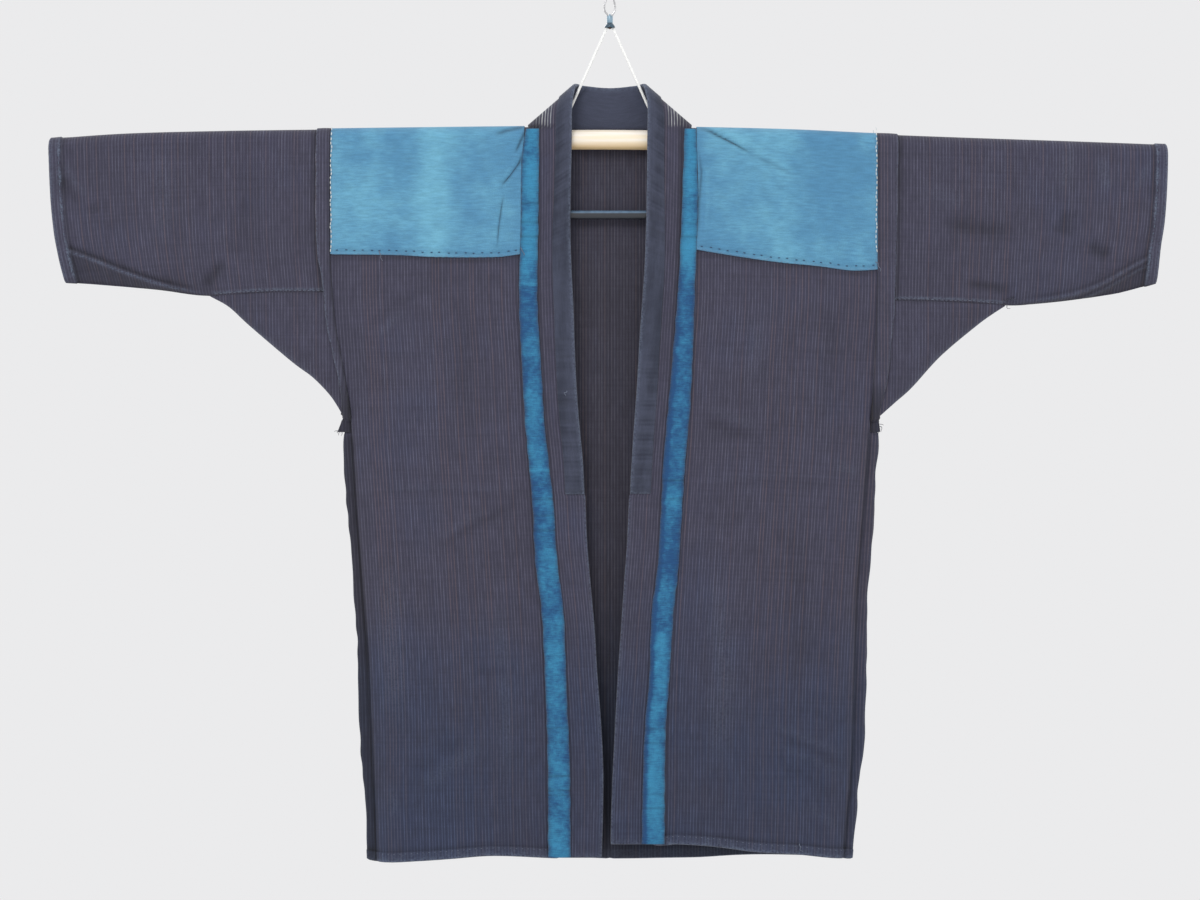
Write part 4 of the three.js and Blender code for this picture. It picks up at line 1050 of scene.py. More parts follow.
class HantenHanger(bpy.types.PropertyGroup):
    """Sizes and finishes of the rod, bar, cords and hook."""

    wood: colour_property("Wood", "The rod", (0.98, 0.92, 0.84))
    wood_grain: colour_property("Wood grain", "Late wood of the rod", (0.92, 0.80, 0.60))
    # Colour of the painted shade along the rod's underside.
    wood_painted_shade: colour_property("Painted shade of the wood", "The rod's underside", (0.90, 0.66, 0.36))
    bar: colour_property("Bar", "The lower bar", (0.100, 0.172, 0.265))
    # Colour of the painted shade along the bar's underside.
    bar_painted_shade: colour_property("Dark of the bar", "The bar's underside", (0.020, 0.024, 0.032))
    cord: colour_property("Cord", "Hanging cords", (0.95, 0.95, 0.93))
    metal: colour_property("Metal", "Wire of the eye", (0.55, 0.55, 0.56))
    ferrule: colour_property("Ferrule", "Sleeve under the eye", (0.25, 0.37, 0.46))
    bell: colour_property("Bell", "Cap over the cords' ends", (0.028, 0.070, 0.11))
    bead: colour_property("Bead", "Bead in the cap", (0.10, 0.052, 0.03))
    cord_radius: length_property("Cord radius", "Radius of the hanging cords", 0.0015)


class HantenStage(bpy.types.PropertyGroup):
    """Camera, light and floor."""

    camera_distance: length_property("Camera distance", "From the camera to the jacket", 3.0)
    frame_width: length_property("Frame width", "Width of the view at the jacket", 1.344)
    frame_x: length_property("Frame x", "Middle of the view, across", -0.011)
    frame_z: length_property("Frame z", "Middle of the view, up", -0.5096)
    floor_z: length_property("Floor height", "Height of the floor", -1.12)
    wall: colour_property("Surroundings", "Light from all round", (0.83, 0.83, 0.84))
    floor: colour_property("Floor", "Colour of the floor", (0.72, 0.72, 0.72))
    key: power_property("Key light", "Power of the light above the camera", 30)
    fill: power_property("Fill light", "Power of the lights beside and behind", 6)


# Pieces


class HANTEN_OT_stage(bpy.types.Operator):
    """Camera straight on to the jacket, large soft lights and a pale floor"""

    bl_idname = "hanten.stage"
    bl_label = "Stage"

    def execute(self, context):
        stage = context.scene.hanten_stage
        view = bpy.data.cameras.new("camera")
        view.sensor_width = 36
        view.lens = view.sensor_width * stage.camera_distance / stage.frame_width
        camera = bpy.data.objects.new("camera", view)
        camera.location = (stage.frame_x, -stage.camera_distance, stage.frame_z)
        camera.rotation_euler = (math.pi / 2, 0, 0)
        context.scene.collection.objects.link(camera)
        context.scene.camera = camera
        context.scene.view_settings.view_transform = "Standard"
        self.lights(context, stage)
        world = bpy.data.worlds.new("surroundings")
        world.use_nodes = True
        world.node_tree.nodes["Background"].inputs[0].default_value = colour_value(stage.wall)
        context.scene.world = world
        self.floor(stage)
        return {"FINISHED"}

    def lights(self, context, stage):
        """Area lights that face the jacket's middle: place, size, power."""
        lamps = {
            "key": ((-0.9, -2.6, 1.3), 1.0, stage.key),
            "side": ((2.2, -1.8, 0.2), 1.6, stage.fill),
            "behind": ((-0.8, 2.6, 0.9), 1.8, stage.key * 0.9),
            "behind_side": ((2.0, 2.0, 0.1), 1.5, stage.fill),
        }
        for name, (place, size, power) in lamps.items():
            lamp = bpy.data.lights.new(name, "AREA")
            lamp.size = size
            lamp.energy = power
            holder = bpy.data.objects.new(name, lamp)
            holder.location = place
            aim = np.array([0, 0, -0.5]) - np.array(place)
            yaw = math.atan2(-aim[0], aim[1])
            tilt = math.atan2(-math.hypot(aim[0], aim[1]), -aim[2])
            holder.rotation_euler = (-tilt, 0, yaw)
            context.scene.collection.objects.link(holder)

    def floor(self, stage):
        """A round board under the jacket, just below the camera's view."""
        top = stage.floor_z / MM
        centres = np.array([(0, -1200, z) for z in (top, top, top - 4, top - 20, top - 20)], float)
        radii = np.array([POLE, 1796, 1800, 1800, POLE])
        board = sweep("floor", centres, radii, 160, direction=UPRIGHT)
        board.data.materials.append(plain_material("pale floor", stage.floor))


def rod_top_at_cord(side):
    """Top of the rod where a cord meets it."""
    return crest_line(side * CORD_AT_ROD) - WRAP - NECK_SLACK + ROD_RADIUS


class HANTEN_OT_cords(bpy.types.Operator):
    """The two hanging cords, and the two short cords that carry the lower bar"""

    bl_idname = "hanten.cords"
    bl_label = "Cords"

    def execute(self, context):
        hanger = context.scene.hanten_hanger
        white = thread_material("white cord", hanger.cord)
        for name, half in HALVES.items():
            top = rod_top_at_cord(half.side)
            slanting = [(CORD_AT_HOOK, CORD_TOP), (CORD_AT_ROD, top + CORD_BITE)]
            upright = [(CORD_AT_ROD, top - 2 * ROD_RADIUS - GAP), (CORD_AT_ROD, BAR_Z + BAR_RADIUS + GAP)]
            self.cord(f"hanging_cord_{name}", half.side, slanting, hanger, white, f"cord_{name}")
            self.cord(f"bar_cord_{name}", half.side, upright, hanger, white, f"cord_drop_{name}")
        return {"FINISHED"}

    def cord(self, name, side, ends, hanger, material, node):
        """A taut cord of three strands, laid round each other, between two ends."""
        (x0, z0), (x1, z1) = ends
        share = np.linspace(0, 1, max(int(math.hypot(x1 - x0, z1 - z0) / 0.7), 40))[:, None]
        route = np.array([[side * x0, 0, z0]]) * (1 - share) + np.array([[side * x1, 0, z1]]) * share
        radius = hanger.cord_radius / MM
        strands = (3, 0.025, 2 * math.pi / CORD_LAY)
        piece = sweep(name, route, np.full(len(route), radius), 24, lobes=strands)
        dress(piece, "white_cord", material, node)
        path = route[:: max(len(route) // 24, 1)] * MM
        path[-1] = route[-1] * MM


def edge_glow(distance, reach):
    """Painted value that fades from 1 at an edge to nothing at about three times reach."""
    return np.exp(-((np.maximum(distance, 0) / reach) ** 1.2))


class HANTEN_OT_body(bpy.types.Operator):
    """Fronts and backs: one length of striped cotton each side, from front hem over the rod to back hem"""

    bl_idname = "hanten.body"
    bl_label = "Fronts and backs"

    def execute(self, context):
        for half in HALVES.values():
            piece = self.panel(half)
            dress(piece, "striped_cotton", striped(context), f"front_{half.name}", f"back_{half.name}")
        return {"FINISHED"}

    def panel(self, half):
        """Columns run from the side allowance to the collar seam, the round neck and the centre back.

        Six columns lie in the allowance, twelve in the closing curve of the side and the rest are even."""
        rows = self.rows(half)
        face, _, angle = rows
        seam, fin = self.side(half, rows)
        inner = self.inner(half, rows)
        x = np.concatenate([
            seam + (fin - seam) * np.linspace(1, 0, 7)[None, :-1],
            seam - CLOSE_WIDTH * np.linspace(0, 1, 13)[None, :-1] ** 1.4,
            seam - CLOSE_WIDTH + (inner - seam + CLOSE_WIDTH) * np.linspace(0, 1, 62)[None, :],
        ], axis=1)
        foot = np.where(face == 1, half.back_hem(x), half.front_hem(x))
        grid, length = hang(half, x, rows, foot)
        z = grid[..., 2]
        below = smooth_ramp(-z, 484, 500)
        across_fin = np.clip((x - seam) / np.maximum(fin - seam, 0.5), 0, 1) * (x > seam)
        bulge = 1.1 * np.sin(math.pi * across_fin) * below
        flop = 2.2 * across_fin * np.sin(z / 33.0 + half.side) * np.sin(z / 87.0) * below
        grid[..., 1] += np.sign(face) * bulge + flop
        on_wall = face != 0
        on_front = (angle < FRONT_ANGLE) * 1.0
        hem_z = z - foot
        in_hem = smooth_ramp(HEM_HEIGHT - hem_z, -0.4, 0.6) * on_wall
        gather = 0.3 * puckers(x, 1.0 + half.side) * edge_glow(np.abs(hem_z - HEM_HEIGHT), 7) * on_wall
        groove = 0.45 * bump(x - seam, 2.2) * below
        # trough is painted shade; ridge is a paler mark, partly rubbing and partly painted highlight.
        trough, ridge = crease_marks(half, x, z, angle)
        fin_shade = 0.5 if half.side < 0 else 0.14
        shade = (
            0.5 * bump(x - seam - 0.6, 1.7) * below
            + fin_shade * smooth_ramp(x - seam, 0, 1.5) * below
            + 0.35 * bump(x - half.strip_far(z), 3.0) * on_front
            + 0.35 * bump(z - half.patch_foot(x) + 2.5, 3.0) * on_wall * (x > 98)
            + 0.30 * bump(hem_z - HEM_HEIGHT - 1.2, 1.6) * on_wall
            + 0.3 * trough
        )
        worn_spots = np.sin(x / 1.9 + np.sin(x / 13.0)) > 0.6
        wear_and_highlight = (
            0.45 * edge_glow(hem_z, 1.8) * on_wall + (0.07 + 0.1 * worn_spots) * in_hem
            + 0.25 * edge_glow(fin - x, 1.4) * below + 0.22 * ridge
        )
        inside = 0.13 + 0.1 * trough + 0.08 * smooth_ramp(-z, 180, 420) + 0.12 * smooth_ramp(-z, 700, 960)
        return shell(
            f"body_{half.name}", grid, -half.side, CLOTH / 2 + HEM_RISE * in_hem + gather - groove,
            -CLOTH / 2, weave_map(half.side * (x + lean(z) * on_front), length),
            {"wear_and_highlight": np.clip(wear_and_highlight, 0, 1), "shade": np.clip(shade, 0, 0.85), "inner_side": 0},
            {"wear_and_highlight": 0.15 * in_hem, "shade": inside, "inner_side": 1},
        )

    def rows(self, half):
        """Even rows down each wall, and eleven close ones where the hem is turned up."""
        hem_share = HEM_HEIGHT / (half.crest(SHOULDER) - WRAP - SIDE_FOOT)
        hem_rows = 1 - hem_share * np.array([0, 0.03, 0.1, 0.3, 0.5, 0.7, 0.88, 0.96, 1.0, 1.06, 1.14])
        drops = np.concatenate([np.linspace(0, 1 - 1.25 * hem_share, 186)[1:], hem_rows])
        return rows_over_rod(drops, np.linspace(-90, 90, 17), drops)

    def side(self, half, rows):
        """x of the side seam and of the allowance's raw edge, which wavers a little, in each row."""
        z = row_height(half, SHOULDER, rows, SIDE_FOOT)
        seam = half.seam_x(z) - GAP / 2
        waver = 0.55 * np.sin(z / 6.3 + 1.6 * np.sin(z / 23)) * np.sin(z / 43 + half.side)
        edge = half.fin_x(z) + waver * smooth_ramp(-z, 495, 515)
        fin = np.where(z < UNDERARM - 1, edge, seam)
        return np.minimum(seam, fin - 0.5), fin

    def inner(self, half, rows):
        """x of the inner edge in each row: the collar seam in front, the round neck, the centre back."""
        face, _, angle = rows
        front = half.collar_seam(row_height(half, 90, rows, half.front_foot)) + COLLAR_GAP
        part = np.clip(np.degrees(angle) / NECK_ANGLE, 0, 1)
        neck = GAP / 2 + (half.collar_seam(STRIP_TOP) + COLLAR_GAP) * np.sqrt(np.maximum(1 - part**2, 0))
        return np.where(face == 1, GAP / 2, np.where(face == 0, neck, front))


class HANTEN_OT_sleeves(bpy.types.Operator):
    """Sleeves with turned cuffs, and the gussets under the arms"""

    bl_idname = "hanten.sleeves"
    bl_label = "Sleeves and gussets"

    def execute(self, context):
        for half in HALVES.values():
            sleeve = dress(self.sleeve(half), "striped_cotton", striped(context), f"sleeve_{half.name}")
            gusset = dress(self.gusset(half), "striped_cotton", striped(context), f"gusset_{half.name}")
        return {"FINISHED"}

    def sleeve(self, half):
        """A tube from the armhole to the cuff, with the lower seam turned to the front near the cuff."""
        drops = np.linspace(0, 1, 121)[1:]
        rows = rows_over_rod(drops, np.linspace(-90, 90, 17), drops)
        face, _, angle = rows
        armhole = half.seam_x(row_height(half, SHOULDER, rows, half.sleeve_foot(SHOULDER))) + GAP / 2
        cuff = half.cuff(row_height(half, half.cuff_end, rows, half.sleeve_foot(half.cuff_end)))
        hem_steps = np.array([1.6, 1.15, 1.05, 1.0, 0.93, 0.7, 0.5, 0.3, 0.12, 0.03, 0])[None, :] * CUFF_HEM
        even = armhole + (cuff - 2.0 * CUFF_HEM - armhole) * np.linspace(0, 1, 90)[None, :]
        x = np.concatenate([even, cuff - hem_steps], axis=1)[:, ::-1]
        grid, length = hang(half, x, rows, half.sleeve_foot(x))
        z = grid[..., 2]
        foot_z = z - half.sleeve_foot(x)
        from_hem = x - cuff + CUFF_HEM
        in_hem = smooth_ramp(from_hem, -0.5, 0.7)
        above = z - half.sleeve_ridge(x)
        at_seam = smooth_ramp(x, 440, 500) * smooth_ramp(-from_hem, -5, 5) * (angle < FRONT_ANGLE)
        height, rubbed_line = self.lower_seam(half, above)
        grid[..., 1] -= (height - 4.0 * smooth_ramp(-above, 0.5, 14)) * at_seam
        gather = 0.4 * puckers(length, 2.0 + half.side) * edge_glow(np.abs(from_hem), 8)
        # trough is painted shade; ridge is a paler mark, partly rubbing and partly painted highlight.
        trough, ridge = crease_marks(half, x, z, angle)
        shade = (
            0.30 * smooth_ramp(-above, -0.5, 4) * at_seam
            + (0.55 if half.side < 0 else 0.32) * bump(above - 4.2, 2.8) * at_seam
            + 0.45 * bump(x - half.allowance_edge(z) - 2.0, 3.4)
            + 0.3 * edge_glow(foot_z, 2.5) * (face != 0)
            + 0.35 * bump(from_hem + 2, 2.2)
            + trough * np.where(angle <= 0, 0.4, 0.15)
        )
        hem_line = 0.5 + 0.4 * np.sin(z / 7.0 + 2 * np.sin(z / 31.0))
        wear_and_highlight = (
            0.4 * edge_glow(cuff - x, 1.8) + 0.05 * in_hem + hem_line * bump(from_hem - 1.5, 1.6)
            + 0.5 * bump(foot_z - 3.2, 1.1) * smooth_ramp(448 - x, 0, 10) * (face != 0)
            + rubbed_line * at_seam + 0.2 * ridge
        )
        stripe = (x - armhole) / (cuff - armhole) * SLEEVE_CLOTH + armhole.mean()
        return shell(
            f"sleeve_piece_{half.name}", grid, -half.side, CLOTH / 2 + HEM_RISE * in_hem + gather, -CLOTH / 2,
            weave_map(half.side * stripe, length),
            {"wear_and_highlight": np.clip(wear_and_highlight, 0, 1), "shade": np.clip(shade, 0, 0.85)},
        )

    def lower_seam(self, half, above):
        """Height of the lower seam and how rubbed it is, by the distance above it.

        On the wearer's right it is one ridge over a trough, and on the left a softer pair of ridges. The
        cloth falls back below it."""
        if half.side < 0:
            return 2.1 * bump(above, 1.7) - 2.6 * bump(above - 5.5, 3.6), 0.6 * bump(above, 1.0)
        upper = 1.3 * bump(above, 2.6) - 1.7 * bump(above - 6.5, 4.5)
        lower = 1.2 * bump(above + 7.5, 1.8) - 1.0 * bump(above + 3.8, 1.9)
        return upper + lower, 0.25 * bump(above, 1.8) + 0.3 * bump(above + 7.5, 1.2)

    def gusset(self, half):
        """A square folded on its diagonal. Rows run from the sleeve's foot down the body's side.

        Each row goes from the seam in front to the fold and back to the seam behind. The stripes of the
        back half are the front's, mirrored in the fold."""
        fold = np.array(half.gusset_line)
        start = fold[0][0] - 6
        corner = half.sleeve_foot(half.seam_x(half.fold_end))
        top = [(x, float(half.sleeve_foot(x)) - GAP) for x in (start, (start + half.seam_x(corner)) / 2)]
        down = [(float(half.seam_x(z)) + GUSSET_GAP, float(z)) for z in
                (corner - GAP, -365, -385, -405, -425, -450, UNDERARM + 2)]
        share = np.linspace(0, 1, 61)
        seam_points = self.along(np.array(top + down), share)
        fold_points = through(fold, share * (len(fold) - 1))
        near = np.concatenate([np.linspace(1, 0.1, 24), [0.06, 0.03, 0.01]])
        weights = np.concatenate([near, [0], near[::-1]])[None, :, None]
        side = np.concatenate([-np.ones(len(near)), [0], np.ones(len(near))])[None, :]
        flat = fold_points[:, None, :] * (1 - weights) + seam_points[:, None, :] * weights
        x, z = flat[..., 0], flat[..., 1]
        deep = wall(half, x, z, np.where(side > 0, 1, -1))
        grid = np.stack([half.side * x, side * deep, z], -1)
        along = unit(fold[-1] - fold[0])
        from_fold = flat - fold[0]
        mirrored = 2 * (from_fold @ along)[..., None] * along - from_fold + fold[0]
        stripe = np.where(side > 0, mirrored[..., 0], x)
        length = np.where(side > 0, mirrored[..., 1], z)
        from_seam = (1 - weights[..., 0]) * GUSSET_WIDTH
        from_edge = weights[..., 0] * GUSSET_WIDTH
        return shell(
            f"gusset_piece_{half.name}", grid, half.side, CLOTH / 2, -CLOTH / 2,
            weave_map(half.side * stripe, length),
            {"wear_and_highlight": 0.35 * edge_glow(from_edge, 3), "shade": 0.25 * edge_glow(from_seam, 5)},
        )

    def along(self, corners, share):
        """Points at shares of the length of a line of corners."""
        passed = length_along(corners)
        return np.stack([np.interp(share * passed[-1], passed, corners[:, k]) for k in (0, 1)], -1)


class HANTEN_OT_allowances(bpy.types.Operator):
    """Armhole allowances, pressed toward the sleeves and running down past the underarms"""

    bl_idname = "hanten.allowances"
    bl_label = "Armhole allowances"

    def execute(self, context):
        for half in HALVES.values():
            node = f"armhole_allowance_{half.name}"
            piece = dress(self.strip(half), "striped_cotton", striped(context), node)
        return {"FINISHED"}

    def strip(self, half):
        """Follows the sleeve's own points, moved out. Its raw edge wavers by half a millimetre."""
        drops = np.linspace(0, 1, 101)[1:]
        rows = rows_over_rod(drops, np.linspace(-90, 90, 17), drops)
        z = row_height(half, SHOULDER, rows, FIN_TOP)
        seam = np.maximum(half.seam_x(z), half.seam_x(UNDERARM)) + np.where(z < UNDERARM, 0.8, 0)
        edge = half.allowance_edge(z) + 0.5 * np.sin(z / 6.1) * np.sin(z / 17.0)
        share = np.linspace(0, 1, 13)[None, :]
        x = edge + (seam - edge) * share
        grid, length = hang(half, x, rows, FIN_TOP)
        lift = CLOTH / 2 + GAP + 1.2 * smooth_ramp(-z, 350, 430)
        roll = 0.25 * np.sin(math.pi * share) + 0.12 * puckers(length, 3.0)
        edge_wear = 0.2 if half.side > 0 else 0.4
        shade = 0.4 * edge_glow(x - seam, 1.8) + 0.5 * smooth_ramp(-z, 425, 468)
        return shell(
            f"allowance_piece_{half.name}", grid, -half.side, lift + ALLOWANCE + roll, lift,
            weave_map(half.side * x, length),
            {
                "wear_and_highlight": edge_wear * edge_glow(edge - x, 1.2) * smooth_ramp(z, -470, -430) + 0.03,
                "shade": np.clip(shade, 0, 0.75),
            },
        )


class HANTEN_OT_patches(bpy.types.Operator):
    """Faded light blue shoulder patches, to the same length behind"""

    bl_idname = "hanten.patches"
    bl_label = "Shoulder patches"

    def execute(self, context):
        cloth = context.scene.hanten_cloth
        blue = dyed_cotton(cloth, "light indigo", cloth.light, cloth.light_pale, 6.0, 0.36, 0.34, True)
        for half in HALVES.values():
            piece = dress(self.patch(half), "light_indigo", blue, f"patch_{half.name}")
        return {"FINISHED"}

    def patch(self, half):
        """The body's own points, moved out, with a turned edge and small gathers along its foot."""
        foot_drops = [0.975, 0.985, 0.994, 1]
        drops = np.concatenate([np.linspace(0, 0.965, 98)[1:], foot_drops])
        back_drops = np.concatenate([np.linspace(0, 0.965, 40)[1:], foot_drops])
        rows = rows_over_rod(drops, np.linspace(-90, 90, 15), back_drops)
        face, _, angle = rows
        outer = half.seam_x(STRIP_TOP) - 1
        inner_z = row_height(half, 100, rows, half.patch_foot(100))
        neck_step = half.strip_far(STRIP_TOP) - half.collar_seam(STRIP_TOP)
        at_neck = smooth_ramp(inner_z, STRIP_TOP - 0.5, STRIP_TOP + 2) * neck_step
        inner = half.strip_far(np.minimum(inner_z, STRIP_TOP)) + 0.8 - at_neck
        across = np.concatenate([np.linspace(0, 0.78, 62)[:-1], np.linspace(0.78, 1, 38)])
        x = outer + (inner - outer) * across[None, :]
        grid, length = hang(half, x, rows, half.patch_foot(x))
        z = grid[..., 2]
        foot = z - half.patch_foot(x)
        on_wall = (face != 0) * 1.0
        gather = 0.28 * puckers(x, 4.0) * edge_glow(foot, 9) * on_wall
        side_gather = 0.22 * puckers(length, 5.0) * (edge_glow(x - inner, 6) + edge_glow(outer - x, 4))
        lift = np.clip(gather + side_gather, -0.35, 0.5) + 0.35 * edge_glow(foot, 5) * on_wall
        # trough is painted shade; ridge is a paler mark, partly rubbing and partly painted highlight.
        trough, ridge = crease_marks(half, x, z, angle)
        true_x = half.side * x
        # Paler dye bands, darker toward the inner edge and the foot, and paler ridges, partly rubbed and
        # partly painted highlight.
        fade = (
            sum(strength * bump(true_x - middle, width) for middle, width, strength in PATCH_BANDS) - 0.17
            - 0.06 * smooth_ramp(true_x, 205, 245) + 0.02 * (half.side > 0)
            - 0.16 * edge_glow(x - inner, 16) - 0.10 * edge_glow(foot, 14) * on_wall + 0.30 * ridge
        )
        turned_edge = 0.12 * edge_glow(np.abs(foot - 4.5), 2) * on_wall
        return shell(
            f"patch_piece_{half.name}", grid, -half.side, CLOTH / 2 + GAP + FACING + lift, CLOTH / 2 + GAP,
            weave_map(half.side * x, length),
            {
                "wear_and_highlight": 0.4 * edge_glow(foot, 2.2) * on_wall + 0.35 * edge_glow(outer - x, 1.6),
                "shade": turned_edge + trough * np.where(angle <= 0, 0.95, 0.2),
                "fade": fade,
            },
        )


def collar_push(z):
    """How far the collar stands out in front of the rod and the cords, from 0 to 1."""
    return smooth_ramp(z, -310, -200)


def collar_depth(z, share):
    """Depth of the band's middle in front: share is 0 at its seam and 1 at its free edge."""
    return WRAP + (BAND - CLOTH) / 2 + (1.6 + 3.0 * share) * collar_push(z)


def half_rails(half):
    """The band's seam and edge points from the hem to just before the middle of the back neck."""
    inner_top = half.crest(90) - WRAP
    z = np.array([half.front_foot, *sorted(COLLAR_HEIGHTS), inner_top], float)
    edge_z = z + COLLAR_SLANT * smooth_ramp(z, -420, -170)
    seam = np.stack([half.collar_seam(z), -collar_depth(z, 0), z], -1)
    edge = np.stack([half.front_edge(edge_z), -collar_depth(z, 1), edge_z], -1)
    seam = np.concatenate([seam, [row[0] for row in NECK_STATIONS]])
    edge = np.concatenate([edge, [row[1] for row in NECK_STATIONS]])
    mirror = np.array([half.side, 1, 1])
    return seam * mirror, edge * mirror


def through(points, places):
    """The uniform Catmull-Rom curve through points, at places counted in points."""
    padded = np.concatenate([[2 * points[0] - points[1]], points, [2 * points[-1] - points[-2]]])
    i = np.clip(np.floor(places).astype(int), 0, len(points) - 2)
    t = (places - i)[:, None]
    a, b, c, d = (padded[i + k] for k in range(4))
    start, end = (c - a) / 2, (d - b) / 2
    return (
        (2 * b - 2 * c + start + end) * t**3 + (3 * c - 3 * b - 2 * start - end) * t**2 + start * t + b
    )


def collar_rails(step):
    """Seam and edge points from the right hem round the neck to the left hem, step millimetres apart.

    Also gives the share of the way round, for what differs from side to side."""
    right_seam, right_edge = half_rails(HALVES["right"])
    left_seam, left_edge = half_rails(HALVES["left"])
    seam = np.concatenate([right_seam, [NECK_BACK[0]], left_seam[::-1]]).astype(float)
    edge = np.concatenate([right_edge, [NECK_BACK[1]], left_edge[::-1]]).astype(float)
    fine = np.linspace(0, len(seam) - 1, 20 * (len(seam) - 1) + 1)
    length = length_along((through(seam, fine) + through(edge, fine)) / 2)
    even = np.linspace(0, length[-1], int(length[-1] / step) + 1)
    places = np.interp(even, length, fine)
    return through(seam, places), through(edge, places), even, places / (len(seam) - 1)


def creep(length, seed):
    """Fine cross creases of a collar: sums of sines of 5 to 19 mm whose height drifts, about -1 to 1."""
    drift = 0.5 + 0.5 * np.sin(length / 47.0 + seed)
    fine = np.sin(length / 0.83 + 2 * np.sin(length / 29.0))
    return drift * (0.5 * fine + 0.5 * np.sin(length / 2.9 + seed))


class HANTEN_OT_collar(bpy.types.Operator):
    """The striped collar band from hem to hem, and the plain over-collar folded round its upper part"""

    bl_idname = "hanten.collar"
    bl_label = "Collar"

    def execute(self, context):
        cloth = context.scene.hanten_cloth
        navy = dyed_cotton(cloth, "plain navy", cloth.plain, cloth.plain_pale, 16.0, 0.5, 0.35)
        band = dress(self.band(), "striped_cotton", striped(context), "collar")
        cover = dress(self.cover(), "plain_cotton", navy, "collar_cover")
        return {"FINISHED"}

    def band(self):
        """Straight across from its seam to its free edge, with a soft roll along the free edge."""
        seam, edge, length, share_round = collar_rails(3.0)
        across = unit(edge - seam)
        z = (seam[:, 2] + edge[:, 2]) / 2
        covered = smooth_ramp(z, COVER_FOOT - 2, COVER_FOOT + 2)
        end = edge - COVER_INSET * across * covered[:, None]
        share = np.concatenate([np.linspace(0, 0.94, 20), [0.97, 0.985, 1.0]])[None, :, None]
        grid = seam[:, None, :] * (1 - share) + end[:, None, :] * share
        share = share[..., 0]
        hem = np.minimum(length, length[-1] - length)[:, None]
        free = (1 - covered)[:, None]
        wear_and_highlight = 0.4 * edge_glow((1 - share) * BAND_WIDTH, 1.6) * free + 0.3 * edge_glow(hem, 3)
        round_middle = share_round[:, None] - 0.5
        height = grid[..., 2]
        join = bump(height - BAND_JOIN, 1.3) * (share < 0.6) * (round_middle < 0)
        beside_neck = np.abs(round_middle) > 0.06
        lined = smooth_ramp(share, 0.1, 0.2) * (1 - smooth_ramp(share, 0.5, 0.6)) * beside_neck
        puff = 0.12 * creep(length, 1.0)[:, None] * free
        return shell(
            "collar_band", grid, 1, BAND / 2 + puff, -BAND / 2,
            weave_map(share * BAND_WIDTH, length[:, None]),
            {
                "wear_and_highlight": np.clip(wear_and_highlight, 0, 1),
                "shade": 0.4 * edge_glow(share * BAND_WIDTH - 12, 2.5) + 0.5 * join,
                "pale_lines": smooth_ramp(height, -150, -147) * lined,
            },
        )

    def cover(self):
        """A section carried round the covered rails: outside, fold, inside, each off the band's middle."""
        seam, edge, length, share_round = collar_rails(2.4)
        z = (seam[:, 2] + edge[:, 2]) / 2
        keep = z >= COVER_FOOT
        seam, edge, length, share_round, z = (row[keep] for row in (seam, edge, length, share_round, z))
        along = np.gradient(seam + edge, axis=0)
        inward = seam - edge
        width = np.linalg.norm(inward, axis=1, keepdims=True)
        inward = inward / width
        out = unit(np.cross(along, inward))
        off = BAND / 2 + GAP + FACING / 2
        outside = HALVES["right"].cover_width * (1 - share_round) + HALVES["left"].cover_width * share_round
        outside = outside[:, None] + 0.25 * creep(length, 2.0)[:, None]
        flat_share = np.linspace(1, 0, 12)[None, :]
        turn = np.linspace(math.pi / 2, -math.pi / 2, 11)[1:-1]
        turn = np.broadcast_to(turn, (len(width), len(turn)))
        outer_part = COVER_FOLD + (outside - COVER_FOLD) * flat_share
        inner_part = COVER_FOLD + (width - COVER_FOLD - COVER_STOP) * flat_share[:, ::-1]
        distance = np.concatenate([outer_part, COVER_FOLD - 1.7 * np.cos(turn), inner_part], axis=1)
        height = np.concatenate([
            np.full_like(outer_part, off), off * np.sin(turn), np.full_like(inner_part, -off),
        ], axis=1)
        grid = edge[:, None] + inward[:, None] * distance[..., None] + out[:, None] * height[..., None]
        length = length[:, None]
        wrinkle = 0.24 * creep(length, 4.0) * smooth_ramp(distance, 1.0, 8.0)
        foot = np.minimum(length - length[0], length[-1] - length)
        at_neck = smooth_ramp(z[:, None], -190, -150)
        # Paler by the fold and at the back neck, a mottling, and painted light and shade that follow the
        # wrinkles.
        fade = (
            0.22 * edge_glow(distance - 2, 8) + 0.4 * creep(length, 4.0)
            + 0.3 * np.sin(length / 41 + distance / 9) * np.sin(distance / 6.0 + 1)
            + 0.3 * edge_glow(distance - 4, 6) * at_neck + 0.5 * (np.abs(share_round[:, None] - 0.5) < 0.06)
        )
        # Painted shade in the fine cross creases.
        wrinkle_shade = smooth_ramp(creep(length, 3.1), 0.35, 0.7)
        return shell(
            "over_collar", grid, -1, FACING / 2 + np.maximum(wrinkle, -0.15), -FACING / 2,
            weave_map(distance * np.sign(height + 0.01), length),
            {
                "wear_and_highlight": 0.65 * edge_glow(distance - 0.5, 1.9) + 0.35 * edge_glow(foot, 2.0),
                "shade": 0.25 * edge_glow(np.abs(foot - 3), 2) + 0.2 * wrinkle_shade,
                "fade": fade,
            },
        )


